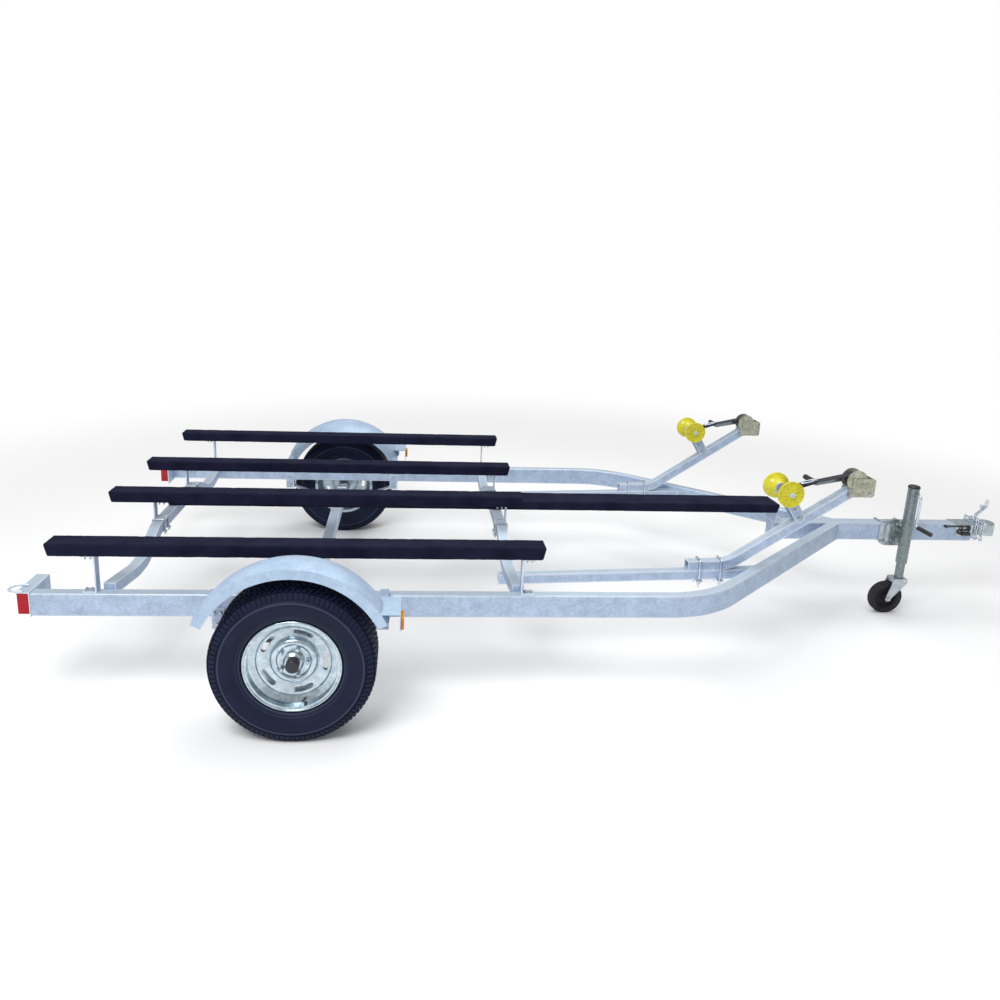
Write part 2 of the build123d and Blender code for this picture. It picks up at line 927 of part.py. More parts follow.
# Bow roller brackets: two plates on the post's sides with the roller's bolt through them
post_side = support_size / 2
plate_run = hypot(roller_station - roller_bolt_station, roller_z - roller_bolt_z)
plate_lean = degrees(atan2(roller_z - roller_bolt_z, roller_station - roller_bolt_station))
plate_middle = (
    (roller_station + roller_bolt_station) / 2,
    (roller_z + roller_bolt_z) / 2,
)
with BuildPart() as roller_bracket:
    for way in (-1, 1):
        with BuildSketch(side_view(-bay_y - way * (post_side + seat_clearance))):
            with Locations(plate_middle):
                SlotCenterToCenter(plate_run, roller_plate_width, rotation=plate_lean)
        extrude(amount=way * roller_plate)
    with BuildSketch(side_view(-bay_y)):
        with Locations((roller_station, roller_z)):
            Circle(roller_bolt_radius)
    extrude(amount=roller_half_length + bolt_head, both=True)
    for way in (-1, 1):
        with BuildSketch(side_view(-bay_y - way * (roller_half_length + roller_clearance))):
            with Locations((roller_station, roller_z)):
                RegularPolygon(bolt_head, 6)
        extrude(amount=way * bolt_head)
write_sides(roller_bracket, "roller_bracket")

# Bow rollers: two ribbed bells on one bolt, one on each side of the bracket
roller_axis = Axis((axle_x + roller_station, 0, roller_z), (0, 1, 0))
bell_start = post_side + seat_clearance + roller_plate + roller_clearance
with BuildPart() as bow_roller:
    for way in (-1, 1):
        with BuildSketch(end_view(roller_station)):
            with BuildLine():
                bore = roller_z + roller_bolt_radius + roller_clearance
                Polyline(
                    (-bay_y + way * bell_start, roller_z + roller_waist),
                    (-bay_y + way * bell_start, bore),
                    (-bay_y + way * roller_half_length, bore),
                    (-bay_y + way * roller_half_length, roller_z + roller_radius),
                    (-bay_y + way * (roller_half_length - roller_disc), roller_z + roller_radius),
                )
                ThreePointArc(
                    (-bay_y + way * (roller_half_length - roller_disc), roller_z + roller_radius),
                    (
                        -bay_y + way * (bell_start + roller_half_length - roller_disc) / 2,
                        roller_z + roller_waist + (roller_radius - roller_waist) * bell_flare,
                    ),
                    (-bay_y + way * bell_start, roller_z + roller_waist),
                )
            make_face()
        revolve(axis=roller_axis)
    for way in (-1, 1):
        with BuildSketch(side_view(-bay_y + way * roller_half_length)):
            with Locations((roller_station, roller_z)):
                Circle(roller_radius - rib_rim)
                Circle(rib_ring, mode=Mode.SUBTRACT)
                with PolarLocations(0, roller_ribs):
                    Rectangle(
                        roller_radius, rib_width, align=(Align.MIN, Align.CENTER), mode=Mode.SUBTRACT
                    )
        extrude(amount=way * rib_depth, mode=Mode.SUBTRACT)
write_sides(bow_roller, "bow_roller")

# Winches: a folded frame on the post's sides, with a drum between two discs
post_turn = radians(post_rise)
disc_inner = post_side + seat_clearance
frame_half = disc_inner + gear_thickness + seat_clearance
foot_place = (
    post_top_station - foot_bolt * cos(post_turn),
    post_top_z - foot_bolt * sin(post_turn),
)


def write_winches(piece, label):
    """Writes the right-hand winch's piece and its unmirrored copy on the left."""
    with BuildPart() as pair:
        add(piece.part)
        with Locations((0, 2 * bay_y, 0)):
            add(piece.part)
    write(pair, label)


with BuildPart() as winch_frame:
    cheek_bottom = drum_z - cheek_drop
    nose_station = drum_station + cheek_front
    with BuildSketch(side_view(-bay_y)) as cheek:
        with BuildLine():
            Polyline(
                (drum_station - cheek_rear, drum_z + cheek_rise),
                (nose_station, drum_z + cheek_rise),
                (nose_station, cheek_bottom),
                (drum_station - foot_rear, cheek_bottom),
                (drum_station - foot_rear, cheek_bottom + foot_rise),
                (drum_station - cheek_rear, cheek_bottom + foot_rise),
                close=True,
            )
        make_face()
        fillet(cheek.vertices().sort_by(Axis.X)[-2:], radius=cheek_corner)
    extrude(amount=frame_half + winch_plate, both=True)
    with BuildSketch(side_view(-bay_y)):
        with Locations((nose_station - winch_plate, drum_z)):
            Rectangle(
                2 * (cheek_front + foot_rear), 4 * cheek_drop, align=(Align.MAX, Align.CENTER)
            )
    extrude(amount=frame_half, both=True, mode=Mode.SUBTRACT)
    for way in (-1, 1):
        with BuildSketch(side_view(-bay_y - way * disc_inner)):
            with Locations(foot_place):
                Circle(foot_pad)
        extrude(amount=way * (frame_half - disc_inner + winch_plate))
    with BuildSketch(side_view(-bay_y)):
        with Locations((drum_station, drum_z)):
            Circle(drum_shaft)
    extrude(amount=frame_half + winch_plate, both=True)
    with BuildSketch(side_view(-bay_y - frame_half - winch_plate)):
        with Locations((drum_station, drum_z)):
            RegularPolygon(drum_shaft, 6)
    extrude(amount=drum_shaft)
write_winches(winch_frame, "winch_frames")

with BuildPart() as winch_drum:
    with BuildSketch(side_view(-bay_y)):
        with Locations((drum_station, drum_z)):
            Circle(drum_core)
            Circle(drum_shaft + seat_clearance, mode=Mode.SUBTRACT)
    extrude(amount=disc_inner - seat_clearance, both=True)
write_winches(winch_drum, "winch_drums")

with BuildPart() as winch_gear:
    for way in (-1, 1):
        with BuildSketch(side_view(-bay_y - way * disc_inner)):
            with Locations((drum_station, drum_z)):
                Circle(gear_radius)
                Circle(drum_shaft + seat_clearance, mode=Mode.SUBTRACT)
        extrude(amount=way * gear_thickness)
write_winches(winch_gear, "winch_gears")

# Straps: wound on the drum, taut to the roller's bolt and back to a hook on the strap
loop_inner = roller_bolt_radius + seat_clearance
strap_gap_x = drum_station - roller_station
strap_gap_z = drum_z + wound_radius - roller_z - loop_inner
strap_angle = degrees(atan2(strap_gap_z, strap_gap_x))
strap_run = hypot(strap_gap_x, strap_gap_z)
return_gap_z = strap_gap_z * strap_join + 2 * loop_inner
return_angle = degrees(atan2(return_gap_z, strap_gap_x * strap_join))
return_run = hypot(strap_gap_x * strap_join, return_gap_z)
with BuildPart() as winch_strap:
    with BuildSketch(side_view(-bay_y)):
        with Locations((roller_station, roller_z)):
            Circle(loop_inner + strap_thickness)
        with Locations((roller_station, roller_z + loop_inner)):
            Rectangle(
                strap_run,
                strap_thickness,
                rotation=strap_angle,
                align=(Align.MIN, Align.MIN),
            )
        with Locations((roller_station, roller_z - loop_inner - strap_thickness)):
            Rectangle(
                return_run,
                strap_thickness,
                rotation=return_angle,
                align=(Align.MIN, Align.MIN),
            )
        with Locations((drum_station, drum_z)):
            Circle(wound_radius + strap_thickness)
            Circle(drum_core + seat_clearance, mode=Mode.SUBTRACT)
        with Locations((roller_station, roller_z)):
            Circle(loop_inner, mode=Mode.SUBTRACT)
    extrude(amount=strap_width / 2, both=True)
write_winches(winch_strap, "winch_straps")

with BuildPart() as winch_handle:
    handle_y = -bay_y + frame_half + winch_plate + winch_gap
    handle_hub = winch_gap - seat_clearance
    with BuildSketch(side_view(handle_y)):
        with Locations((drum_station - handle_length / 2, drum_z - handle_fall / 2)):
            SlotCenterToCenter(handle_run, handle_width, rotation=handle_lean)
    extrude(amount=-handle_thickness)
    with BuildSketch(side_view(handle_y)):
        with Locations((drum_station, drum_z)):
            Circle(drum_shaft)
    extrude(amount=handle_hub)
    grip_y = handle_y + handle_thickness
    with BuildSketch(side_view(grip_y)):
        with Locations((drum_station - handle_length, drum_z - handle_fall)):
            Circle(drum_shaft)
    extrude(amount=-grip_length)
write_winches(winch_handle, "winch_handles")

with BuildPart() as winch_grip:
    with BuildSketch(side_view(grip_y + seat_clearance)):
        with Locations((drum_station - handle_length, drum_z - handle_fall)):
            Circle(grip_radius)
            Circle(drum_shaft + seat_clearance, mode=Mode.SUBTRACT)
    extrude(amount=-grip_length)
    with BuildSketch(side_view(grip_y + grip_length + seat_clearance)):
        with Locations((drum_station - handle_length, drum_z - handle_fall)):
            Circle(grip_radius)
    extrude(amount=-grip_lap)
write_winches(winch_grip, "winch_grips")

# Jack: bracket and spindle on the tongue, swinging tube, lifting leg and caster
jack_x = axle_x + jack_station
tongue_side = -tongue_width / 2
collar_y = jack_y + jack_tube_radius
with BuildPart() as jack_bracket:
    with BuildSketch(side_view(tongue_side)):
        with BuildLine():
            FilletPolyline(
                (jack_station - bracket_behind, bracket_bottom),
                (jack_station + bracket_before, bracket_bottom),
                (jack_station + bracket_before, bracket_top),
                (jack_station - bracket_behind, bracket_top),
                radius=(bracket_sweep, bracket_corner, bracket_corner, bracket_corner),
                close=True,
            )
        make_face()
    extrude(amount=bracket_thickness)
    with BuildSketch(side_view(tongue_side - bracket_thickness)):
        with Locations((jack_station - riser_setback, pivot_z)):
            RectangleRounded(riser_width, riser_height, riser_corner)
    extrude(amount=riser_depth)
    rod_out = clamp_rod / 2 + seat_clearance
    rod_end = tongue_side - bracket_thickness - clamp_tail
    for reach in clamp_places.values():
        with BuildLine(end_view(jack_station + reach)) as route:
            FilletPolyline(
                (rod_end, rail_top + rod_out),
                (-tongue_side + rod_out, rail_top + rod_out),
                (-tongue_side + rod_out, rail_bottom - rod_out),
                (rod_end, rail_bottom - rod_out),
                radius=clamp_bend,
            )
        with BuildSketch(Plane(route.line @ 0, z_dir=route.line % 0)):
            Circle(clamp_rod / 2)
        sweep(path=route.line)
    with BuildSketch(side_view(tongue_side)):
        with Locations((jack_station, pivot_z)):
            Circle(pivot_radius)
    extrude(amount=tongue_side - collar_y - pivot_end_gap)
write(jack_bracket, "jack_bracket")

with BuildPart() as jack_tube:
    with BuildSketch(Plane(origin=(jack_x, jack_y, jack_tube_bottom))):
        Circle(jack_tube_radius)
    extrude(amount=jack_tube_top - jack_tube_bottom)
    collar_face = tongue_side - bracket_thickness - jack_clearance
    with BuildSketch(side_view(collar_face)):
        with Locations((jack_station, pivot_z)):
            Circle(pivot_collar)
    extrude(amount=collar_face - jack_y)
    with BuildSketch(side_view(tongue_side)):
        with Locations((jack_station, pivot_z)):
            Circle(pivot_radius + jack_clearance)
    extrude(amount=tongue_side - collar_y, mode=Mode.SUBTRACT)
    crank_face = jack_y - jack_tube_radius
    with BuildSketch(side_view(crank_face - crank_boss_length)):
        with Locations((jack_station, crank_z)):
            Circle(crank_boss)
    extrude(amount=-crank_boss_length - crank_boss)
    with BuildSketch(Plane(origin=(jack_x, jack_y, jack_tube_bottom))):
        Circle(jack_leg_radius + jack_clearance)
    extrude(amount=jack_tube_top - jack_tube_bottom, mode=Mode.SUBTRACT)
write(jack_tube, "jack_tube")

with BuildPart() as jack_top:
    with BuildSketch(Plane(origin=(jack_x, jack_y, jack_tube_top))):
        Circle(jack_tube_radius + jack_cap_rim)
    extrude(amount=jack_cap)
    fillet(jack_top.faces().sort_by(Axis.Z)[-1].edges(), radius=jack_cap_round)
write(jack_top, "jack_cap")

crank_start = crank_face - crank_boss_length
with BuildPart() as jack_crank:
    arm_y = crank_start - crank_reach
    grip_z = crank_z - crank_drop
    with BuildLine(end_view(jack_station)) as route:
        FilletPolyline(
            (crank_start, crank_z),
            (arm_y, crank_z),
            (arm_y, grip_z),
            (arm_y - crank_foot - crank_grip_length, grip_z),
            radius=crank_bend,
        )
    with BuildSketch(Plane(route.line @ 0, z_dir=route.line % 0)):
        Circle(crank_rod)
    sweep(path=route.line)
write(jack_crank, "jack_crank")

with BuildPart() as jack_grip:
    with BuildSketch(side_view(arm_y - crank_foot)):
        with Locations((jack_station, grip_z)):
            Circle(crank_grip_radius)
            Circle(crank_rod + seat_clearance, mode=Mode.SUBTRACT)
    extrude(amount=crank_grip_length + seat_clearance)
    with BuildSketch(side_view(arm_y - crank_foot - crank_grip_length - seat_clearance)):
        with Locations((jack_station, grip_z)):
            Circle(crank_grip_radius)
    extrude(amount=grip_lap)
write(jack_grip, "jack_grip")

fork_top = leg_bottom - jack_clearance
king_pin_top = fork_top - fork_plate - jack_clearance
with BuildPart() as jack_leg:
    with BuildSketch(Plane(origin=(jack_x, jack_y, leg_bottom))):
        Circle(jack_leg_radius)
    extrude(amount=leg_top - leg_bottom)
    with BuildSketch(Plane(origin=(jack_x, jack_y, leg_bottom))):
        Circle(king_pin_radius)
    extrude(amount=king_pin_top - leg_bottom)
    with BuildSketch(Plane(origin=(jack_x, jack_y, king_pin_top))):
        Circle(king_pin_head_radius)
    extrude(amount=-king_pin_head)
write(jack_leg, "jack_leg")

caster_station = jack_station - caster_trail
caster_axis = Axis((axle_x + caster_station, jack_y, caster_radius), (0, 1, 0))
fork_half = caster_width / 2 + fork_gap
with BuildPart() as caster_fork:
    with BuildSketch(side_view(jack_y)):
        with BuildLine():
            Polyline(
                (caster_station - fork_eye, caster_radius),
                (jack_station - fork_rear, fork_top),
                (jack_station + fork_front, fork_top),
                (jack_station + fork_front, fork_top - fork_skirt),
                (caster_station + fork_eye, caster_radius),
            )
            ThreePointArc(
                (caster_station - fork_eye, caster_radius),
                (caster_station, caster_radius - fork_eye),
                (caster_station + fork_eye, caster_radius),
            )
        make_face()
    extrude(amount=fork_half + fork_plate, both=True)
    with BuildSketch(side_view(jack_y)):
        with Locations((caster_station, fork_top - fork_plate)):
            Rectangle(
                4 * caster_radius, 2 * caster_radius, align=(Align.CENTER, Align.MAX)
            )
    extrude(amount=fork_half, both=True, mode=Mode.SUBTRACT)
    with BuildSketch(side_view(jack_y)):
        with Locations((caster_station, caster_radius)):
            Circle(caster_pin_radius)
    extrude(amount=fork_half + fork_plate + caster_pin_end, both=True)
    with BuildSketch(Plane(origin=(jack_x, jack_y, fork_top))):
        Circle(king_pin_radius + jack_clearance)
    extrude(amount=-fork_plate, mode=Mode.SUBTRACT)
write(caster_fork, "caster_fork")

caster_bore = caster_pin_radius + jack_clearance
with BuildPart() as caster_hub:
    with BuildSketch(end_view(caster_station)):
        with BuildLine():
            half = caster_width / 2
            web = caster_web / 2
            flange = caster_hub_radius - caster_flange
            line = (
                # distance from the wheel's middle plane, radius
                (half, caster_bore),
                (half, caster_boss_radius),
                (web, caster_boss_radius + caster_dish),
                (web, flange - caster_dish),
                (half, flange),
                (half, caster_hub_radius),
            )
            Polyline(
                *[(jack_y - out, caster_radius + radius) for out, radius in line],
                *[(jack_y + out, caster_radius + radius) for out, radius in reversed(line)],
                close=True,
            )
        make_face()
    revolve(axis=caster_axis)
write(caster_hub, "caster_hub")

with BuildPart() as caster_tyre:
    with BuildSketch(end_view(caster_station)):
        inner = caster_hub_radius + seat_clearance
        with Locations((jack_y, caster_radius + (inner + caster_radius) / 2)):
            RectangleRounded(caster_width, caster_radius - inner, caster_tyre_round)
    revolve(axis=caster_axis)
write(caster_tyre, "caster_tyre")

# Coupler: a pressed channel over the tongue, a narrower neck and a round nose over the ball
coupler_half = tongue_width / 2 + coupler_wall
coupler_top = rail_top + coupler_wall
coupler_bottom = coupler_top - coupler_depth
neck_rear = tongue_front + neck_taper
neck_front = neck_rear + neck_length
half_outline = (
    (coupler_rear, coupler_half),
    (tongue_front, coupler_half),
    (neck_rear, neck_half),
    (neck_front, neck_half),
    (ball_station, coupler_nose_radius),
)
with BuildPart() as coupler:
    with BuildSketch(top_view(coupler_bottom)):
        with BuildLine():
            Polyline(
                *half_outline,
                *[(station, -y) for station, y in reversed(half_outline)],
                close=True,
            )
        make_face()
        with Locations((ball_station, 0)):
            Circle(coupler_nose_radius)
    extrude(amount=coupler_depth)
    top_edges = coupler.faces().sort_by(Axis.Z)[-1].edges()
    fillet(top_edges.filter_by(Axis.Y, reverse=True), radius=coupler_round)
    with BuildSketch(end_view(coupler_rear)):
        with Locations((0, rail_top)):
            Rectangle(tongue_width, rail_height, align=(Align.CENTER, Align.MAX))
    extrude(amount=tongue_front - coupler_rear, mode=Mode.SUBTRACT)
    with BuildSketch(Plane(origin=(axle_x + ball_station, 0, coupler_bottom))):
        Circle(ball_clearance_radius)
    extrude(amount=socket_depth, mode=Mode.SUBTRACT)
write(coupler, "coupler")

with BuildPart() as coupler_latch:
    with BuildLine(side_view(0)) as route:
        FilletPolyline(
            (latch_station - latch_foot, coupler_top + latch_thickness / 2),
            (latch_station, coupler_top + latch_thickness / 2),
            (latch_station + latch_thickness, coupler_top + latch_rise),
            (latch_station + latch_reach, coupler_top + latch_rise + latch_reach - latch_thickness),
            (latch_station + latch_lean, latch_top),
            radius=latch_bend,
        )
    with BuildSketch(Plane(route.line @ 0, x_dir=(0, 1, 0), z_dir=route.line % 0)):
        Rectangle(latch_width, latch_thickness)
    sweep(path=route.line)
write(coupler_latch, "coupler_latch")

# Safety chains: two loops of links over the coupler's neck, each with a bolt under it
link_pitch = link_inner - link_play
chain_y = link_pitch + (link_inner + link_wire) / 2
bolt_half = chain_y + link_wire / 2 + link_play
chain_loops = (
    # Station and lift of the loop: the rear one lies over the latch's foot
    (latch_station - chain_behind, latch_thickness + link_play),
    (latch_station + chain_ahead, 0),
)
with BuildPart() as chains:
    for station, lift in chain_loops:
        top_z = coupler_top + link_width / 2 + link_play + lift
        corner_z = top_z + link_wire / 2 + link_play - link_inner / 2
        low_z = corner_z - (side_links - 1) * link_pitch
        bolt_z = low_z - link_inner / 2 + link_play + chain_bolt_radius
        links = [
            # Y and height of the middle, direction of the length, direction across the flat
            (-link_pitch, top_z, (0, 1, 0), (0, 0, 1)),
            (0, top_z, (0, 1, 0), (1, 0, 0)),
            (link_pitch, top_z, (0, 1, 0), (0, 0, 1)),
        ]
        for y in (-chain_y, chain_y):
            for row in range(side_links):
                across = ((1, 0, 0), (0, 1, 0))[row % 2]
                links.append((y, corner_z - row * link_pitch, (0, 0, 1), across))
        for y, z, along, across in links:
            with BuildSketch(Plane((axle_x + station, y, z), x_dir=along, z_dir=across)):
                SlotOverall(link_inner + 2 * link_wire, link_width)
                RectangleRounded(
                    link_inner, link_width - 2 * link_wire, link_corner, mode=Mode.SUBTRACT
                )
            extrude(amount=link_wire / 2, both=True)
        with BuildSketch(end_view(station)):
            with BuildLine():
                Polyline(
                    (-bolt_half - chain_head, bolt_z),
                    (-bolt_half - chain_head, bolt_z + chain_head_radius),
                    (-bolt_half, bolt_z + chain_head_radius),
                    (-bolt_half, bolt_z + chain_bolt_radius),
                    (bolt_half, bolt_z + chain_bolt_radius),
                    (bolt_half, bolt_z + chain_head_radius),
                    (bolt_half + chain_head, bolt_z + chain_head_radius),
                    (bolt_half + chain_head, bolt_z),
                    close=True,
                )
            make_face()
        revolve(axis=Axis((axle_x + station, 0, bolt_z), (0, 1, 0)))
        with BuildSketch(Plane((axle_x + station, 0, bolt_z))):
            Rectangle(link_wire, chain_tab)
        extrude(amount=coupler_bottom - seat_clearance - bolt_z)
write(chains, "safety_chains")

# Wiring lead: out of a grommet in the tongue, folded under clips on the coupler's side
lead_wall = -coupler_half - seat_clearance
lead_y = lead_wall - lead_radius
passes = [lead_top_z - row * lead_pass for row in range(3)]
plug_rear = tongue_front - plug_setback
with BuildPart() as wiring_lead:
    with BuildLine(side_view(lead_y)) as route:
        FilletPolyline(
            (tongue_front - lead_start, passes[0]),
            (tongue_front - lead_front, passes[0]),
            (tongue_front - lead_front, passes[1]),
            (tongue_front - lead_rear, passes[1]),
            (tongue_front - lead_rear, passes[2]),
            (plug_rear - seat_clearance, passes[2]),
            radius=lead_bend,
        )
    with BuildSketch(Plane(route.line @ 0, z_dir=route.line % 0)):
        Circle(lead_radius)
    sweep(path=route.line)
    with BuildSketch(side_view(tongue_side)):
        with Locations((tongue_front - lead_start, passes[0])):
            Circle(grommet_radius)
    extrude(amount=tongue_side - lead_y + lead_radius + grommet_rim)
    slot_height = lead_pass + 2 * lead_radius + 2 * seat_clearance
    slot_depth = 2 * lead_radius + seat_clearance
    for setback in clip_setbacks:
        with BuildSketch(end_view(tongue_front - setback)):
            with Locations((lead_wall, (passes[0] + passes[1]) / 2)):
                Rectangle(
                    slot_depth + clip_wall,
                    slot_height + 2 * clip_wall,
                    align=(Align.MAX, Align.CENTER),
                )
                Rectangle(
                    slot_depth,
                    slot_height,
                    align=(Align.MAX, Align.CENTER),
                    mode=Mode.SUBTRACT,
                )
        extrude(amount=clip_width)
write(wiring_lead, "wiring_lead")

with BuildPart() as wiring_plug:
    with BuildSketch(side_view(lead_wall)):
        with Locations((plug_rear, passes[2])):
            Rectangle(plug_length, plug_height, align=(Align.MIN, Align.CENTER))
    extrude(amount=plug_depth)
    fillet(wiring_plug.edges().filter_by(Axis.X), radius=plug_corner)
write(wiring_plug, "wiring_plug")
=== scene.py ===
import json
import math

import bmesh
import bpy
import numpy as np
from mathutils import Matrix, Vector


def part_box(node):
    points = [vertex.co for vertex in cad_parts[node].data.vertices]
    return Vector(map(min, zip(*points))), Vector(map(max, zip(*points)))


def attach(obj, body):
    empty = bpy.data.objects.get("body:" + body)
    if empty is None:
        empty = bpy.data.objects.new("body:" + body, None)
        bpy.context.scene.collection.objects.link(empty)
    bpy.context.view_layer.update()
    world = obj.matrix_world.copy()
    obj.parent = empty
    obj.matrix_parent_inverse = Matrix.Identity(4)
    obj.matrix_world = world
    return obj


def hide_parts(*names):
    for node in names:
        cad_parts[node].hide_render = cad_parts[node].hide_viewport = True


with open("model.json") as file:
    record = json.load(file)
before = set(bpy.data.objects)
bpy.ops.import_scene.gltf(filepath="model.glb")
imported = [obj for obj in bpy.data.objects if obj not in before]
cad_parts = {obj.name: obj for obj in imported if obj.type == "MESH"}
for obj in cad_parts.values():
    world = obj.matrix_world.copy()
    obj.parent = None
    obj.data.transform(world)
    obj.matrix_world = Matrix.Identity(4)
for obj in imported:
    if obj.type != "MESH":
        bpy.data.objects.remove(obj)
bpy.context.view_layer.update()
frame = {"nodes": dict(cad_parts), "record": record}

nodes = frame["nodes"]
AXLE = tuple(float(np.mean(ends)) for ends in zip(*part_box("axle")[:2]))
AXLE_X = AXLE[0]

# Picture: the image is taken to be 1000 by 1000 pixels
FOCAL_PIXELS = 722.5
IMAGE_CENTRE = (453.4, 407.5)
IMAGE_PIXELS = 1000
CAMERA_PLACE = (-0.889, -3.778, 1.948)
CAMERA_YAW, CAMERA_PITCH, CAMERA_ROLL = np.radians((3.669, 12.230, 2.013))
SENSOR = 36.0


# Finishes

# painted highlight: pale colour of the light line on the moulded sidewall rings
PAINTED_RING_HIGHLIGHT = (0.055, 0.068, 0.115, 1.0)
PAINTED_HIGHLIGHT_RINGS = (
    # radius, half width and share of the painted highlight colour
    (0.2825, 0.0045, 0.8),
    (0.2180, 0.0030, 0.35),
    (0.2065, 0.0060, 0.45),
)


def add_node(tree, kind, inputs=None, **settings):
    """Adds a shader node; an input given as a socket is linked, any other value is set."""
    node = tree.nodes.new(kind)
    for key, value in settings.items():
        setattr(node, key, value)
    for key, value in (inputs or {}).items():
        if isinstance(value, bpy.types.NodeSocket):
            tree.links.new(value, node.inputs[key])
        else:
            node.inputs[key].default_value = value
    return node


def calculated(tree, operation, *values):
    """Result of a sum or other operation on sockets and numbers."""
    node = add_node(tree, "ShaderNodeMath", dict(enumerate(values)), operation=operation)
    return node.outputs[0]


def ramp(tree, factor, *stops):
    """Colour ramp over factor, from (position, colour) stops."""
    node = add_node(tree, "ShaderNodeValToRGB", {"Fac": factor})
    elements = node.color_ramp.elements
    while len(elements) < len(stops):
        elements.new(1.0)
    for element, (position, colour) in zip(elements, stops):
        element.position = position
        element.color = (*colour, 1.0)
    return node.outputs["Color"]


def noise(tree, place, scale, detail, roughness=0.55):
    """Noise value over the piece's own metres."""
    node = add_node(
        tree, "ShaderNodeTexNoise",
        {"Vector": place, "Scale": scale, "Detail": detail, "Roughness": roughness},
    )
    return node.outputs["Fac"]


def start_finish(name):
    """New material: its tree, its shader and its Object coordinates."""
    material = bpy.data.materials.new(name)
    material.use_nodes = True
    tree = material.node_tree
    shader = tree.nodes["Principled BSDF"]
    place = add_node(tree, "ShaderNodeTexCoord").outputs["Object"]
    return material, tree, shader, place


def spread(tree, low, high, factor):
    """Number between low and high by a factor from 0 to 1."""
    node = add_node(
        tree, "ShaderNodeMapRange", {"Value": factor, "To Min": low, "To Max": high}
    )
    return node.outputs["Result"]


def bump(tree, shader, height, distance, strength):
    """Bump of a height in metres on the shader."""
    node = add_node(
        tree, "ShaderNodeBump", {"Height": height, "Distance": distance, "Strength": strength}
    )
    tree.links.new(node.outputs["Normal"], shader.inputs["Normal"])


def share_between(tree, value, low, high, most=1.0):
    """Smooth share from 0 where a value is at low to most where it is at high."""
    node = add_node(
        tree, "ShaderNodeMapRange",
        {"Value": value, "From Min": low, "From Max": high, "To Max": most},
        interpolation_type="SMOOTHSTEP",
    )
    return node.outputs["Result"]


def mixed_colour(tree, share, first, second):
    """Colour between two by a share."""
    node = add_node(tree, "ShaderNodeMixRGB", {"Fac": share, "Color1": first, "Color2": second})
    return node.outputs[0]


def with_painted_top_and_edge_light(tree, colour, top, edge):
    """Colour with a greyer tint painted on faces that look up, for the light that falls on tops, and a
    painted highlight where an edge turns: there the normal averaged over a few millimetres leaves the
    face's own."""
    normal = add_node(tree, "ShaderNodeNewGeometry").outputs["Normal"]
    upward = add_node(tree, "ShaderNodeSeparateXYZ", {0: normal}).outputs["Z"]
    # painted tint on faces that look up, standing for the light on tops
    painted_top_share = share_between(tree, upward, low=0.5, high=1.0, most=0.75)
    colour = mixed_colour(tree, painted_top_share, colour, top)
    rounded = add_node(tree, "ShaderNodeBevel", {"Radius": 0.009}, samples=4).outputs[0]
    along = add_node(
        tree, "ShaderNodeVectorMath", {0: rounded, 1: normal}, operation="DOT_PRODUCT"
    ).outputs["Value"]
    # painted highlight where an edge turns
    painted_highlight = share_between(tree, along, low=0.996, high=0.93, most=0.9)
    return mixed_colour(tree, painted_highlight, colour, edge)


def zinc_finish(name, dark, pale, spangle, clouding, metallic, rough, painted_top_and_edge=None):
    """Zinc coat: crystal cells of a little different grey under cloudy patches and a fine grain;
    spangle and clouding are how many of them lie along a metre; when given, two more colours add a
    painted tint on tops for the light there and a painted highlight on edges."""
    material, tree, shader, place = start_finish(name)
    cells = add_node(
        tree, "ShaderNodeTexVoronoi", {"Vector": place, "Scale": spangle, "Randomness": 1.0}
    )
    cell = add_node(tree, "ShaderNodeSeparateColor", {"Color": cells.outputs["Color"]}).outputs["Red"]
    clouds = noise(tree, place, clouding, detail=5.0, roughness=0.6)
    grain = noise(tree, place, scale=160.0, detail=2.0)
    cloud_part = calculated(tree, "MULTIPLY", clouds, 0.72)
    mixed = calculated(tree, "MULTIPLY_ADD", cell, 0.20, cloud_part)
    colour = ramp(tree, mixed, (0.28, dark), (0.62, pale))
    # painted top tint and painted edge highlight, when given
    if painted_top_and_edge:
        colour = with_painted_top_and_edge_light(tree, colour, *painted_top_and_edge)
    tree.links.new(colour, shader.inputs["Base Color"])
    shader.inputs["Metallic"].default_value = metallic
    tree.links.new(spread(tree, *rough, clouds), shader.inputs["Roughness"])
    bump(tree, shader, grain, distance=0.0006, strength=0.35)
    return material


def carpet_finish():
    """Cut-pile carpet: near-black blue fibres in tufts, with a faint nap across the board."""
    material, tree, shader, place = start_finish("bunk_carpet")
    tufts = add_node(
        tree, "ShaderNodeTexVoronoi", {"Vector": place, "Scale": 420.0}
    ).outputs["Distance"]
    nap = noise(tree, place, scale=9.0, detail=4.0)
    fuzz = noise(tree, place, scale=900.0, detail=2.0)
    mixed = calculated(tree, "MULTIPLY_ADD", fuzz, 0.5, nap)
    colour = ramp(tree, mixed, (0.45, (0.004, 0.0045, 0.015)), (0.95, (0.014, 0.015, 0.039)))
    tree.links.new(colour, shader.inputs["Base Color"])
    shader.inputs["Roughness"].default_value = 0.95
    shader.inputs["Specular IOR Level"].default_value = 0.08
    shader.inputs["Sheen Weight"].default_value = 0.05
    shader.inputs["Sheen Roughness"].default_value = 0.5
    shader.inputs["Sheen Tint"].default_value = (0.35, 0.37, 0.5, 1.0)
    bump(tree, shader, tufts, distance=0.002, strength=0.8)
    return material


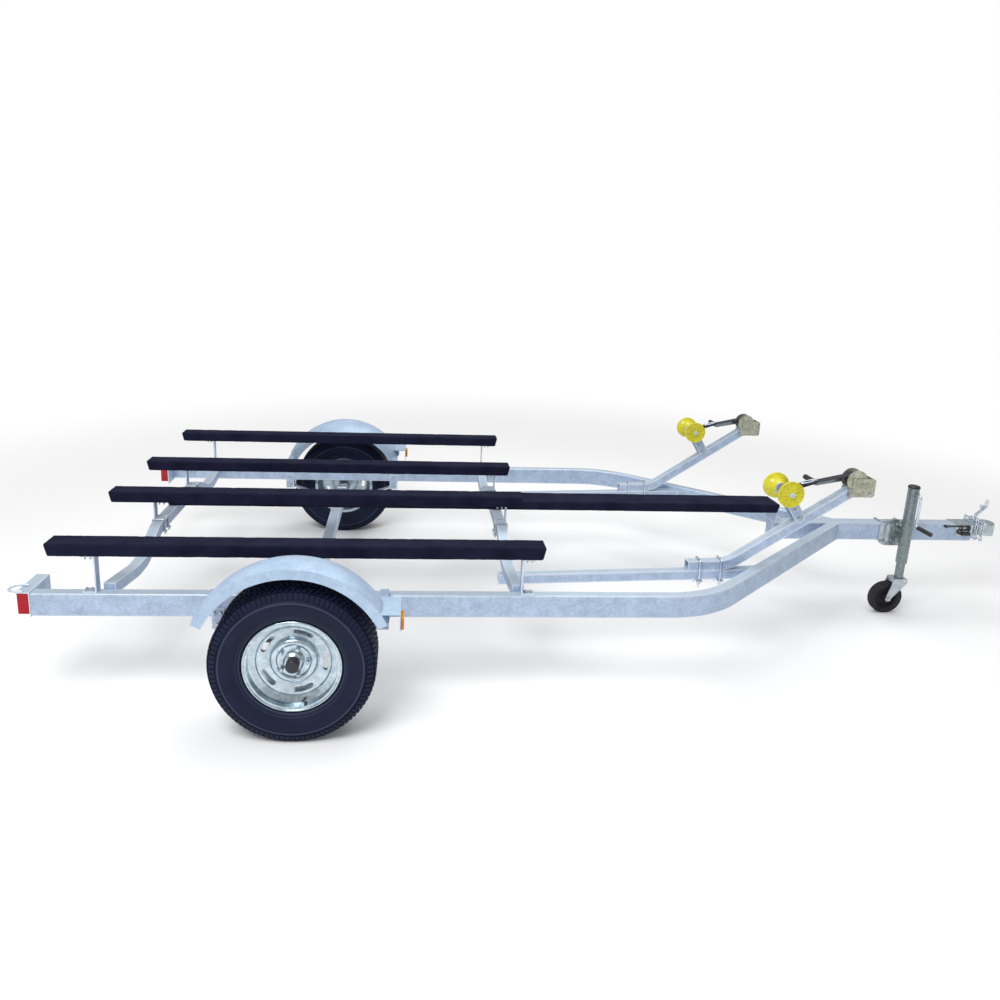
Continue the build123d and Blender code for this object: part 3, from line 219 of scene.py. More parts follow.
def rubber_finish(name, dark, pale, painted_highlight=()):
    """Tyre rubber: blue-black, dusted in patches, with a fine moulded grain, and a painted
    highlight on the sidewall rings, each a smooth step of the distance from its own radius about the
    axle."""
    material, tree, shader, place = start_finish(name)
    dust = noise(tree, place, scale=14.0, detail=5.0, roughness=0.6)
    grain = noise(tree, place, scale=500.0, detail=2.0)
    colour = ramp(tree, dust, (0.35, dark), (0.7, pale))
    beside = add_node(
        tree, "ShaderNodeVectorMath", {0: place, 1: AXLE}, operation="SUBTRACT"
    ).outputs[0]
    level = add_node(
        tree, "ShaderNodeVectorMath", {0: beside, 1: (1.0, 0.0, 1.0)}, operation="MULTIPLY"
    ).outputs[0]
    radius = add_node(tree, "ShaderNodeVectorMath", {0: level}, operation="LENGTH").outputs["Value"]
    # painted highlight along each moulded ring
    for middle, half, amount in painted_highlight:
        off = calculated(tree, "SUBTRACT", radius, middle)
        away = calculated(tree, "ABSOLUTE", off)
        ring_highlight_share = share_between(tree, away, low=half, high=0.0, most=amount)
        colour = mixed_colour(tree, ring_highlight_share, colour, PAINTED_RING_HIGHLIGHT)
    tree.links.new(colour, shader.inputs["Base Color"])
    rough = spread(tree, low=0.55, high=0.75, factor=dust)
    tree.links.new(rough, shader.inputs["Roughness"])
    shader.inputs["Specular IOR Level"].default_value = 0.22
    bump(tree, shader, grain, distance=0.0008, strength=0.4)
    return material


def polymer(name, dark, pale, rough, coat=0.0, subsurface=0.0):
    """Moulded polymer before its bump: one hue with slow flow marks."""
    material, tree, shader, place = start_finish(name)
    flow = noise(tree, place, scale=22.0, detail=3.0)
    colour = ramp(tree, flow, (0.3, dark), (0.7, pale))
    tree.links.new(colour, shader.inputs["Base Color"])
    tree.links.new(spread(tree, rough * 0.85, rough * 1.2, flow), shader.inputs["Roughness"])
    shader.inputs["Coat Weight"].default_value = coat
    shader.inputs["Coat Roughness"].default_value = 0.12
    shader.inputs["Subsurface Weight"].default_value = subsurface
    shader.inputs["Subsurface Radius"].default_value = (0.02, 0.012, 0.004)
    return material, tree, shader, place


def plastic_finish(name, dark, pale, rough, **settings):
    """Moulded polymer with a fine surface ripple."""
    material, tree, shader, place = polymer(name, dark, pale, rough, **settings)
    ripple = noise(tree, place, scale=240.0, detail=2.0)
    bump(tree, shader, ripple, distance=0.0005, strength=0.3)
    return material


def lens_finish(name, dark, pale):
    """Moulded lens: clear-coated polymer with level ribs, a wave along Z as bump."""
    material, tree, shader, place = polymer(name, dark, pale, rough=0.2, coat=0.12)
    shader.inputs["Specular IOR Level"].default_value = 0.2
    ribs = add_node(
        tree, "ShaderNodeTexWave", {"Vector": place, "Scale": 60.0}, bands_direction="Z"
    ).outputs["Fac"]
    bump(tree, shader, ribs, distance=0.002, strength=0.7)
    return material


def webbing_finish():
    """Woven strap: crossing threads from two wave bands, black with a faint blue shine."""
    material, tree, shader, place = start_finish("strap_webbing")
    threads = [
        add_node(
            tree, "ShaderNodeTexWave",
            {"Vector": place, "Scale": scale, "Distortion": 0.3},
            bands_direction=direction,
        ).outputs["Fac"]
        for direction, scale in (("X", 120.0), ("Y", 160.0))
    ]
    weave = calculated(tree, "MULTIPLY", *threads)
    colour = ramp(tree, weave, (0.0, (0.012, 0.012, 0.02)), (1.0, (0.05, 0.05, 0.075)))
    tree.links.new(colour, shader.inputs["Base Color"])
    shader.inputs["Roughness"].default_value = 0.7
    bump(tree, shader, weave, distance=0.0008, strength=0.6)
    return material


GALVANISED = zinc_finish(
    "galvanised_tube", dark=(0.32, 0.405, 0.545), pale=(0.475, 0.58, 0.745),
    spangle=120.0, clouding=16.0, metallic=0.4, rough=(0.36, 0.6),
    # painted tint on tops and painted highlight on edges, for the light on the tubes
    painted_top_and_edge=((0.50, 0.585, 0.665, 1.0), (0.82, 0.88, 0.94, 1.0)),
)
FENDER_ZINC = zinc_finish(
    "fender_sheet_zinc", dark=(0.34, 0.455, 0.62), pale=(0.45, 0.575, 0.73),
    spangle=80.0, clouding=11.0, metallic=0.25, rough=(0.4, 0.55),
)
WHEEL_ZINC = zinc_finish(
    "wheel_zinc", dark=(0.36, 0.44, 0.50), pale=(0.59, 0.69, 0.755),
    spangle=70.0, clouding=16.0, metallic=0.95, rough=(0.14, 0.32),
)
BRIGHT_ZINC = zinc_finish(
    "bright_zinc", dark=(0.16, 0.195, 0.205), pale=(0.27, 0.315, 0.325),
    spangle=140.0, clouding=60.0, metallic=0.85, rough=(0.22, 0.42),
)
WINCH_ZINC = zinc_finish(
    "winch_zinc", dark=(0.27, 0.28, 0.21), pale=(0.52, 0.53, 0.43),
    spangle=110.0, clouding=34.0, metallic=0.7, rough=(0.28, 0.5),
)
BOLT_ZINC = zinc_finish(
    "bolt_zinc", dark=(0.32, 0.38, 0.42), pale=(0.58, 0.65, 0.68),
    spangle=160.0, clouding=40.0, metallic=0.8, rough=(0.2, 0.4),
)
CHAIN_ZINC = zinc_finish(
    "chain_zinc", dark=(0.48, 0.55, 0.64), pale=(0.74, 0.80, 0.88),
    spangle=200.0, clouding=60.0, metallic=0.9, rough=(0.14, 0.3),
)
CARPET = carpet_finish()
# tyre rubber with painted highlight rings on the sidewalls
TYRE_RUBBER = rubber_finish(
    "tyre_rubber", dark=(0.003, 0.006, 0.023), pale=(0.007, 0.012, 0.043), painted_highlight=PAINTED_HIGHLIGHT_RINGS
)
CASTER_BLACK = rubber_finish(
    "caster_black", dark=(0.012, 0.011, 0.016), pale=(0.03, 0.028, 0.036)
)
YELLOW = plastic_finish(
    "yellow_polymer", dark=(0.52, 0.47, 0.008), pale=(0.72, 0.66, 0.02),
    rough=0.32, coat=0.2, subsurface=0.15,
)
RED_LENS = lens_finish("red_lens", dark=(0.34, 0.002, 0.008), pale=(0.46, 0.004, 0.016))
AMBER_LENS = lens_finish("amber_lens", dark=(0.62, 0.20, 0.015), pale=(0.8, 0.30, 0.02))
BLACK_POLYMER = plastic_finish(
    "black_polymer", dark=(0.010, 0.010, 0.014), pale=(0.026, 0.026, 0.034), rough=0.42
)
WEBBING = webbing_finish()

finishes = {
    "galvanised": GALVANISED,
    "fender_sheet": FENDER_ZINC,
    "wheel_steel": WHEEL_ZINC,
    "hub_steel": WHEEL_ZINC,
    "carpet": CARPET,
    "tyre_rubber": TYRE_RUBBER,
    "red_lens": RED_LENS,
    "amber_lens": AMBER_LENS,
    "yellow_roller": YELLOW,
    "zinc_plate": BRIGHT_ZINC,
    "webbing": WEBBING,
    "caster_steel": CASTER_BLACK,
    "black_polymer": BLACK_POLYMER,
}
own_finishes = {
    "winch_frames": WINCH_ZINC,
    "winch_gears": WINCH_ZINC,
    "jack_bracket": BOLT_ZINC,
    "jack_crank": CHAIN_ZINC,
    "caster_fork": BOLT_ZINC,
    "caster_tyre": CASTER_BLACK,
    "coupler": BOLT_ZINC,
    "coupler_latch": CHAIN_ZINC,
}
for subpart in frame["record"]["subparts"]:
    mesh = nodes[subpart["node"]].data
    mesh.materials.clear()
    own = own_finishes.get(subpart["node"])
    mesh.materials.append(own or finishes[subpart["material_slot"]])


# Shapes

def grid_quads(rows, columns, wrap_rows=False, wrap_columns=False):
    """Corner numbers of a grid's quads; a wrapped side joins its last line to its first."""
    row = np.arange(rows if wrap_rows else rows - 1)[:, None]
    column = np.arange(columns if wrap_columns else columns - 1)[None, :]
    here = row * columns
    below = (row + 1) % rows * columns
    beside = (column + 1) % columns
    corners = (here + column, here + beside, below + beside, below + column)
    return np.stack(corners, axis=-1).reshape(-1, 4)


def cap_quads(start, count):
    """Quads that close a ring of an even number of points, in strips across it."""
    k = np.arange(count // 2 - 1)
    return start + np.stack([k, k + 1, count - 2 - k, count - 1 - k], axis=1)


def put_piece(name, points, faces, finish, body, slot, stands_for=(), crease=40.0):
    """Closed mesh from an array of points and lists of corner numbers, facing outwards, on a body."""
    mesh = bpy.data.meshes.new(name)
    mesh.from_pydata(np.asarray(points, float).reshape(-1, 3).tolist(), [], faces)
    shell = bmesh.new()
    shell.from_mesh(mesh)
    bmesh.ops.recalc_face_normals(shell, faces=shell.faces)
    shell.to_mesh(mesh)
    shell.free()
    mesh.polygons.foreach_set("use_smooth", np.ones(len(mesh.polygons), bool))
    mesh.set_sharp_from_angle(angle=math.radians(crease))
    mesh.materials.append(finish)
    piece = bpy.data.objects.new(name, mesh)
    bpy.context.collection.objects.link(piece)
    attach(piece, body)
    if stands_for:
        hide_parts(*stands_for)
    return piece


def arc_points(first, middle, last, count):
    """Points along the circle through three points: equal steps of angle about its centre."""
    first, middle, last = (np.array(point, float) for point in (first, middle, last))
    sides = 2 * np.array([middle - first, last - first])
    centre = np.linalg.solve(sides, [middle @ middle - first @ first, last @ last - first @ first])
    angles = [math.atan2(*(point - centre)[::-1]) for point in (first, middle, last)]
    start, _, end = np.unwrap(angles)
    turn = np.linspace(start, end, count)
    radius = np.linalg.norm(first - centre)
    return centre + radius * np.stack([np.cos(turn), np.sin(turn)], axis=1)


def turned(section, turn, centre):
    """Section of (offset along Y, radius) pairs turned about a Y axis through a centre."""
    turn = np.asarray(turn, float)
    offset, radius = section[..., 0], section[..., 1]
    points = np.stack([radius * np.sin(turn), offset + 0 * turn, radius * np.cos(turn)], axis=-1)
    return np.asarray(centre) + points


# Tyres

# Points on half of the section: offset from the wheel's middle, radius
BEAD = (0.070, 0.184)
BEAD_SIDE = (0.0705, 0.191)
BEAD_TOP = (0.070, 0.198)
WIDEST = (0.1025, 0.262)
SHOULDER = (0.090, 0.3165)
SHOULDER_MIDDLE = (0.08405, 0.3265)
TREAD_EDGE = (0.073, 0.3315)
TREAD_MIDDLE = (0.0, 0.3315)
SECTION_MIDDLE = (0.0, 0.25)
SIDE_POINTS = 60
SHOULDER_POINTS = 12
TREAD_POINTS = 18

# Lowered bands under the blocks, by half their length along the section
BAND_HALF = 0.125
MIDDLE_BAND_HALF = 0.089
BAND_EDGE = 0.0012
SIDEWALL_FROM = 0.06

TREAD_ROWS = (
    # start and end across the tread, points across, shift round it in pitches, slant
    (-0.121, -0.091, 4, 0.0, 0.3),
    (-0.087, -0.047, 4, 0.5, -0.9),
    (-0.042, -0.018, 2, 0.0, 0.9),
    (-0.013, 0.013, 2, 0.5, -0.9),
    (0.018, 0.042, 2, 0.0, 0.9),
    (0.047, 0.087, 4, 0.5, -0.9),
    (0.091, 0.121, 4, 0.0, 0.3),
)
BLOCKS_ROUND = 94
BLOCK_GAP = 0.0046
BLOCK_BEVEL = 0.0014
BLOCK_ROOT = 0.001
BLOCK_RADIUS = 0.33
SLANT_RUN = 0.05
TREAD_DEPTH = 0.008
SHOULDER_DEPTH = 0.004
SIDE_RINGS = (
    # radius, half width and height of a raised ring on the sidewall
    (0.2065, 0.006, 0.0030),
    (0.2180, 0.0018, 0.0016),
    (0.2420, 0.0014, 0.0011),
    (0.2825, 0.0036, 0.0030),
)


def tyre_section():
    """Outer line of a tyre from bead to bead: two side arcs, two shoulder arcs and a crown."""
    half = np.concatenate([
        [BEAD, BEAD_SIDE],
        arc_points(BEAD_TOP, WIDEST, SHOULDER, SIDE_POINTS)[:-1],
        arc_points(SHOULDER, SHOULDER_MIDDLE, TREAD_EDGE, SHOULDER_POINTS)[:-1],
        np.linspace(TREAD_EDGE, TREAD_MIDDLE, TREAD_POINTS)[:-1],
    ])
    return np.concatenate([half, [TREAD_MIDDLE], half[::-1] * (-1, 1)])


def section_normals(section):
    """Unit normals of an open section line, pointing away from the wheel's middle."""
    along = np.gradient(section, axis=0)
    out = np.stack([-along[:, 1], along[:, 0]], axis=1)
    out /= np.linalg.norm(out, axis=1, keepdims=True)
    return out * np.sign(np.sum(out * (section - SECTION_MIDDLE), axis=1, keepdims=True))


def make_tyre(side, steps=220):
    """Carcass with raised side rings and a lowered tread band, and seven staggered rows of slanted
    blocks that stand on the band; a block is a small grid laid along the section's own length."""
    low, high = (np.array(corner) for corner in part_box(f"tyre_{side}"))
    centre = (low + high) / 2
    section = tyre_section()
    normals = section_normals(section)
    length = np.concatenate([[0.0], np.cumsum(np.linalg.norm(np.diff(section, axis=0), axis=1))])
    length -= length[-1] / 2
    raised = sum(
        height * np.exp(-(((section[:, 1] - radius) / half) ** 4))
        for radius, half, height in SIDE_RINGS
    )
    raised = raised * (np.abs(section[:, 0]) > SIDEWALL_FROM)
    band = 1 / (1 + np.exp((np.abs(length) - BAND_HALF) / BAND_EDGE))
    middle_band = 1 / (1 + np.exp((np.abs(length) - MIDDLE_BAND_HALF) / BAND_EDGE))
    lowered = SHOULDER_DEPTH * band + (TREAD_DEPTH - SHOULDER_DEPTH) * middle_band
    shaped = section + normals * (raised - lowered)[:, None]
    turn = np.linspace(0.0, 2 * math.pi, steps, endpoint=False)
    points = [turned(shaped[None], turn[:, None], centre).reshape(-1, 3)]
    faces = [grid_quads(steps, len(section), wrap_rows=True, wrap_columns=True)]
    total = len(points[0])

    pitch = 2 * math.pi / BLOCKS_ROUND
    half_gap = BLOCK_GAP / 2 / section[:, 1].max()
    levels = ((0.0, -TREAD_DEPTH - BLOCK_ROOT), (0.0, -BLOCK_BEVEL), (BLOCK_BEVEL, 0.0))
    for start, end, across, shift, slant in TREAD_ROWS:
        lines = []
        turns = []
        for inset, height in levels:
            place = np.linspace(start + inset, end - inset, across)
            there = np.stack([np.interp(place, length, section[:, k]) for k in (0, 1)], axis=1)
            away = np.stack([np.interp(place, length, normals[:, k]) for k in (0, 1)], axis=1)
            line = there + away * height
            lean = slant * (place - (start + end) / 2) / SLANT_RUN * pitch
            reach = pitch / 2 - half_gap - inset / BLOCK_RADIUS
            lines += [line, line[::-1]]
            turns += [lean - reach, (lean + reach)[::-1]]
        angles = (np.arange(BLOCKS_ROUND) + shift)[:, None] * pitch + np.concatenate(turns)
        blocks = turned(np.concatenate(lines)[None], angles, centre)
        around = 2 * across
        block_faces = np.concatenate([
            grid_quads(len(levels), around, wrap_columns=True),
            cap_quads(0, around),
            cap_quads((len(levels) - 1) * around, around),
        ])
        numbers = total + np.arange(BLOCKS_ROUND)[:, None, None] * blocks.shape[1] + block_faces
        points.append(blocks.reshape(-1, 3))
        faces.append(numbers.reshape(-1, 4))
        total += blocks.shape[0] * blocks.shape[1]
    put_piece(
        f"tyre_tread_{side}", np.concatenate(points), np.concatenate(faces).tolist(), TYRE_RUBBER,
        f"wheel_{side}", "tyre_rubber", [f"tyre_{side}"],
    )


for side in ("right", "left"):
    make_tyre(side)


# Carpeted boards

PILE_STEP = 0.008
PILE_HEIGHT = 0.00042
PILE_DEEPEST = 0.0015
BOARD_CORNER = 0.009
FOLD_ROUND = 0.006
FOLD_POINTS = 6
END_SLANT = 0.013


def smooth_noise(draw, shape, passes):
    """Seeded noise on a grid, averaged with its neighbours a few times and brought to unit spread."""
    field = draw.standard_normal(shape)
    for _ in range(passes):
        beside = [np.roll(field, way, axis) for axis in (0, 1) for way in (1, -1)]
        field = sum(beside, field) / (1 + len(beside))
    return field / field.std()


def board_section(width, height, corner, per_side=14, per_corner=5):
    """Closed rounded rectangle about its middle: straight sides joined by quarter circles."""
    line = []
    for quarter in range(4):
        angle = np.linspace(0, math.pi / 2, per_corner) + quarter * math.pi / 2
        diagonal = (quarter + 0.5) * math.pi / 2
        sign = np.sign((math.cos(diagonal), math.sin(diagonal)))
        middle = np.array((width / 2 - corner, height / 2 - corner)) * sign
        line.append(middle + corner * np.stack([np.cos(angle), np.sin(angle)], axis=1))
    corners = np.concatenate(line)
    following = np.roll(corners, -1, axis=0)
    share = np.linspace(0, 1, per_side, endpoint=False)[1:, None]
    parts = []
    for k in range(4):
        run = slice(k * per_corner, (k + 1) * per_corner)
        last = (k + 1) * per_corner - 1
        parts += [corners[run], corners[last] + share * (following[last] - corners[last])]
    return np.concatenate(parts)


def make_board(node, seed):
    """Board wrapped in carpet: a rounded section carried along X, its ends drawn in to a soft fold
    and slanted as the solid's ends are, with a seeded ripple of the pile along the normals."""
    low, high = (np.array(corner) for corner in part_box(node))
    width, height = (high - low)[1:]
    middle = (low + high) / 2
    section = board_section(width, height, BOARD_CORNER)
    core = np.array((width, height)) / 2 - BOARD_CORNER
    normal = section - np.clip(section, -core, core)
    normal /= np.linalg.norm(normal, axis=1, keepdims=True)
    fold = np.linspace(0, math.pi / 2, FOLD_POINTS)[:-1]
    edge = FOLD_ROUND * (1 - np.cos(fold))
    steps = int((high[0] - low[0]) / PILE_STEP)
    inner = np.linspace(low[0] + FOLD_ROUND, high[0] - FOLD_ROUND, steps)
    rows = np.concatenate([low[0] + edge, inner, high[0] - edge[::-1]])
    drawn = np.concatenate([
        FOLD_ROUND * (1 - np.sin(fold)), np.zeros(len(inner)), FOLD_ROUND * (1 - np.sin(fold[::-1]))
    ])
    draw = np.random.default_rng(seed)
    shape = (len(rows), len(section))
    fine = smooth_noise(draw, shape, passes=1)
    broad = smooth_noise(draw, shape, passes=12)
    pile = np.clip(PILE_HEIGHT * (fine + broad), -PILE_DEEPEST, 0.0) - drawn[:, None]
    across = section[None] + normal[None] * pile[..., None]
    points = np.empty((*shape, 3))
    points[..., 1:] = middle[1:] + across
    depth = (high[2] - points[..., 2]) / height
    share = (rows - low[0]) / (high[0] - low[0])
    points[..., 0] = rows[:, None] + END_SLANT * depth * (1 - 2 * share[:, None])
    count = len(section)
    faces = grid_quads(*shape, wrap_columns=True).tolist()
    faces += [list(range(count)), list(range((shape[0] - 1) * count, shape[0] * count))]
    piece = put_piece(f"carpet_{node}", points, faces, CARPET, "frame", "carpet", [node], crease=60.0)


for seed, node in enumerate(
    ("bunk_outer_right", "bunk_inner_right", "bunk_inner_left", "bunk_outer_left", "walk_board")
):
    make_board(node, seed)


# Hardware: rods, bolts, plates and chain links, on the places of the solids that carry them

# Places in metres, as the solids have them; a station is a distance forward of the axle
BAY_Y = 0.586
RAIL_Y = 0.9265
WHEEL_Y = 1.1175
OUTER_BRACKET_Y = 0.924
INNER_BRACKET_Y = 0.264
OUTER_BRACKETS = (
    # station, and 1 where the bracket's flanges point forward
    (-0.836, -1),
    (0.932, 1),
)
CROSS_MEMBERS = (
    # station, and 1 where the inner brackets on it point forward
    (-0.800, 1),
    (0.925, -1),
)
CROSS_HALF = 0.025
CROSS_TOP_Z = 0.5802
CROSS_PLATE_Z = 0.5263
BRACKET_PLATE = 0.006
BUNK_BOTTOM = float(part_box("bunk_outer_right")[0][2])
RAIL_TOP = float(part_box("tongue")[1][2])
RAIL_BOTTOM = float(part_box("tongue")[0][2])
AXLE_HALF = 0.029
AXLE_TOP_Z = 0.3605
SPRING_PLATE_Z = 0.2755
SPRING_EYE_STATION = 0.345
SPRING_EYE_Z = 0.380
HANGER_FACE = 0.0288
HANGER_BOLT_Z = 0.434
SUPPORT_SIZE = 0.046
SUPPORT_SEAT_STATION = 0.950
SUPPORT_SEAT_Z = 0.449
SUPPORT_SLOPE = math.tan(math.radians(1.9))
POST_CLAMPS = (
    # station, and how far the post's bend lifts the rod
    (1.853, 0.0),
    (1.956, 0.0008),
)
ROLLER_STATION = 2.229
ROLLER_Z = 0.888
ROLLER_PLATE_FACE = 0.0283
WINCH_FACE = 0.0306
STAND_BOLTS = (
    # station, face beside the post, height, half width and length of thread
    (2.314, ROLLER_PLATE_FACE, 0.755, 0.0085, 0.003),
    (2.286, ROLLER_PLATE_FACE, 0.797, 0.006, 0.003),
    (2.5484, WINCH_FACE, 0.8773, 0.0075, 0.003),
    (2.640, WINCH_FACE, 0.880, 0.006, 0.0),
)
DRUM_STATION = 2.572
DRUM_Z = 0.945
WOUND_RADIUS = 0.029
STRAP_LIFT = 0.0083
JACK_Y = -0.100
JACK_PLATE_Y = -0.046
JACK_ROD_RISE = 0.0053
JACK_RODS = (3.148, 3.264)
JACK_BOLTS = ((3.206, 0.512), (3.232, 0.512), (3.206, 0.418), (3.232, 0.400))
CASTER_STATION = 3.187
CASTER_Z = 0.093
COUPLER_SIDE_Y = 0.043
COUPLER_BOLTS = (3.615, 3.665)
COUPLER_BOLT_Z = 0.478
COUPLER_TOP_BOLT = (3.690, 0, 0.526)
LATCH_TAB = (3.754, 0, 0.6095)
CHAINS = (
    # station, and how far the loop is lifted off the coupler's top
    (3.705, 0.0074),
    (3.742, 0.0),
)

# Half width of a bent rod's nut over the rod's radius
NUT_SHARE = 1.7

# Directions
AHEAD = (1, 0, 0)
ACROSS = (0, 1, 0)
UP = (0, 0, 1)
DOWN = (0, 0, -1)


def station(along, y, z):
    """Point at a distance forward of the axle."""
    return np.array((AXLE_X + along, y, z))


def joined(shapes):
    """One array of points and of quads from several: each shape's corner numbers follow the last's."""
    starts = np.cumsum([0] + [len(points) for points, _ in shapes])
    quads = [quads + start for (_, quads), start in zip(shapes, starts)]
    return np.concatenate([points for points, _ in shapes]), np.concatenate(quads)


def square_directions(axis):
    """Two unit directions square to a unit axis and to each other."""
    helper = np.array(UP if abs(axis[2]) < 0.9 else AHEAD, float)
    first = np.cross(helper, axis)
    first /= np.linalg.norm(first)
    return first, np.cross(axis, first)


def rings(place, axis, heights, reaches, six_sided=None, columns=12):
    """Closed stack of rings about an axis: each has a height and a reach, and is round, or six-sided
    where the reach is divided by the cosine of the angle to the nearest flat."""
    place, axis = np.asarray(place, float), np.asarray(axis, float)
    six_sided = np.zeros(len(heights), bool) if six_sided is None else six_sided
    angle = np.arange(columns) * 2 * math.pi / columns
    corner = 1 / np.cos((angle + math.pi / 6) % (math.pi / 3) - math.pi / 6)
    reach = np.asarray(reaches)[:, None] * np.where(np.asarray(six_sided)[:, None], corner, 1.0)
    first, second = square_directions(axis)
    spoke = np.cos(angle)[:, None] * first + np.sin(angle)[:, None] * second
    points = place + np.asarray(heights)[:, None, None] * axis + reach[..., None] * spoke
    quads = np.concatenate([
        grid_quads(len(heights), columns, wrap_columns=True),
        cap_quads(0, columns),
        cap_quads((len(heights) - 1) * columns, columns),
    ])
    return points.reshape(-1, 3), quads


def bolt(place, axis, flat, stud=0.0):
    """Hexagon head or nut on a washer: flat is half its width, stud the thread's length past it."""
    rows = [
        # height and reach as shares of flat, and 1 where the ring is six-sided
        (-0.1, 1.35, 0),
        (0.16, 1.35, 0),
        (0.2, 1.28, 0),
        (0.2, 1.0, 1),
        (0.86, 1.0, 1),
        (1.0, 0.86, 0),
    ]
    if stud:
        rows += [(1.0, 0.56, 0), (1.0 + stud / flat, 0.56, 0), (1.1 + stud / flat, 0.44, 0)]
    heights, reaches, six_sided = np.array(rows).T
    return rings(place, axis, heights * flat, reaches * flat, six_sided > 0)


def bent_line(corners, radius, steps=7):
    """Line through corner points, each inner corner rounded by an arc tangent to both its runs."""
    corners = np.asarray(corners, float)
    line = [corners[:1]]
    for before, corner, after in zip(corners[:-2], corners[1:-1], corners[2:]):
        back = (before - corner) / np.linalg.norm(before - corner)
        on = (after - corner) / np.linalg.norm(after - corner)
        half = math.acos(np.clip(back @ on, -1, 1)) / 2
        middle = corner + (back + on) / np.linalg.norm(back + on) * radius / math.sin(half)
        first = corner + back * radius / math.tan(half) - middle
        last = corner + on * radius / math.tan(half) - middle
        share = np.linspace(0, 1, steps)[:, None]
        arc = first * (1 - share) + last * share
        line.append(middle + radius * arc / np.linalg.norm(arc, axis=1, keepdims=True))
    line.append(corners[-1:])
    return np.concatenate(line)


def rod(line, normal, radius, sides=10, closed=False):
    """Round rod along a flat line: a circle of a radius carried square to the line's direction."""
    line, normal = np.asarray(line, float), np.asarray(normal, float)
    along = np.roll(line, -1, 0) - np.roll(line, 1, 0) if closed else np.gradient(line, axis=0)
    along /= np.linalg.norm(along, axis=1, keepdims=True)
    side = np.cross(normal, along)
    angle = np.arange(sides) * 2 * math.pi / sides
    circle = np.cos(angle)[None, :, None] * side[:, None] + np.sin(angle)[None, :, None] * normal
    points = line[:, None] + radius * circle
    quads = grid_quads(len(line), sides, wrap_rows=closed, wrap_columns=True)
    if not closed:
        quads = np.concatenate([quads, cap_quads(0, sides), cap_quads((len(line) - 1) * sides, sides)])
    return points.reshape(-1, 3), quads


def plate(middle, half, axes=None, soft=0.12, columns=28, rows=9):
    """Small forged plate: a box whose sides bulge by a power of sine and cosine in both directions."""
    around = (np.arange(columns) + 0.5) * 2 * math.pi / columns
    up = np.linspace(-math.pi / 2, math.pi / 2, rows)[1:-1]

    def power(value):
        """Value brought nearer to plus or minus one by the power."""
        return np.sign(value) * np.abs(value) ** soft

    flat = power(np.cos(up))[:, None]
    height = power(np.sin(up))[:, None] + 0 * around
    unit = np.stack([flat * power(np.cos(around)), flat * power(np.sin(around)), height], axis=-1)
    axes = np.eye(3) if axes is None else np.asarray(axes, float)
    points = np.asarray(middle, float) + (unit * half) @ axes
    quads = np.concatenate([
        grid_quads(rows - 2, columns, wrap_columns=True),
        cap_quads(0, columns),
        cap_quads((rows - 3) * columns, columns),
    ])
    return points.reshape(-1, 3), quads


def u_clamp(middle, across, down, reach, drop, radius, tail, corner):
    """Bent rod over a tube: a top run along across and two legs down, each past a nut by a tail."""
    middle, across, down = (np.asarray(value, float) for value in (middle, across, down))
    ends = [middle + way * reach * across for way in (-1, 1)]
    legs = [end + (drop + tail) * down for end in ends]
    line = bent_line([legs[0], ends[0], ends[1], legs[1]], corner)
    shapes = [rod(line, np.cross(across, down), radius)]
    shapes += [bolt(end + drop * down, down, flat=radius * NUT_SHARE) for end in ends]
    return joined(shapes)


def put_hardware(name, shapes, body="frame", slot="zinc_plate", finish=BOLT_ZINC, **settings):
    """Puts several shapes down as one piece."""
    points, quads = joined(shapes)
    return put_piece(name, points, quads.tolist(), finish, body, slot, **settings)


def make_post_clamps():
    """Two bent rods round each winch post's foot and its support, with a plate and nuts below."""
    rod_sizes = {"reach": 0.0284, "drop": 0.1075, "radius": 0.005, "tail": 0.026, "corner": 0.007}
    rod_rise = 0.0052
    plate_drop = 0.0032
    shapes = []
    for y in (-BAY_Y, BAY_Y):
        for along, bend_lift in POST_CLAMPS:
            seat = SUPPORT_SEAT_Z + (along - SUPPORT_SEAT_STATION) * SUPPORT_SLOPE
            top = station(along, y, seat + SUPPORT_SIZE + rod_rise + bend_lift)
            shapes.append(u_clamp(top, ACROSS, DOWN, **rod_sizes))
            below = station(along, y, seat - SUPPORT_SIZE - plate_drop)
            shapes.append(plate(below, half=(0.015, 0.044, 0.003)))
    put_hardware("post_clamps", shapes, finish=CHAIN_ZINC)


def make_spring_clamps():
    """Bent rods over the axle at each spring, with a plate under the leaves, and the eye bolts."""
    rod_rise = 0.0055
    rod_sizes = {
        "reach": AXLE_HALF + rod_rise, "drop": 0.0945, "radius": 0.005, "tail": 0.014, "corner": 0.010
    }
    rod_beside = 0.0285
    bolt_beside = 0.014
    shapes = []
    for way in (-1, 1):
        y = way * RAIL_Y
        shapes.append(plate(station(0, y, SPRING_PLATE_Z), half=(0.050, 0.040, 0.004)))
        for beside in (-rod_beside, rod_beside):
            top = station(0, y + beside, AXLE_TOP_Z + rod_rise)
            shapes.append(u_clamp(top, AHEAD, DOWN, **rod_sizes))
        for along in (-SPRING_EYE_STATION, SPRING_EYE_STATION):
            for out in (-1, 1):
                face = y + out * HANGER_FACE
                eye = station(along, face, SPRING_EYE_Z)
                shapes.append(bolt(eye, (0, out, 0), flat=0.0095, stud=0.003))
                for beside in (-bolt_beside, bolt_beside):
                    place = station(along + beside, face, HANGER_BOLT_Z)
                    shapes.append(bolt(place, (0, out, 0), flat=0.006))
    put_hardware("spring_clamps", shapes)


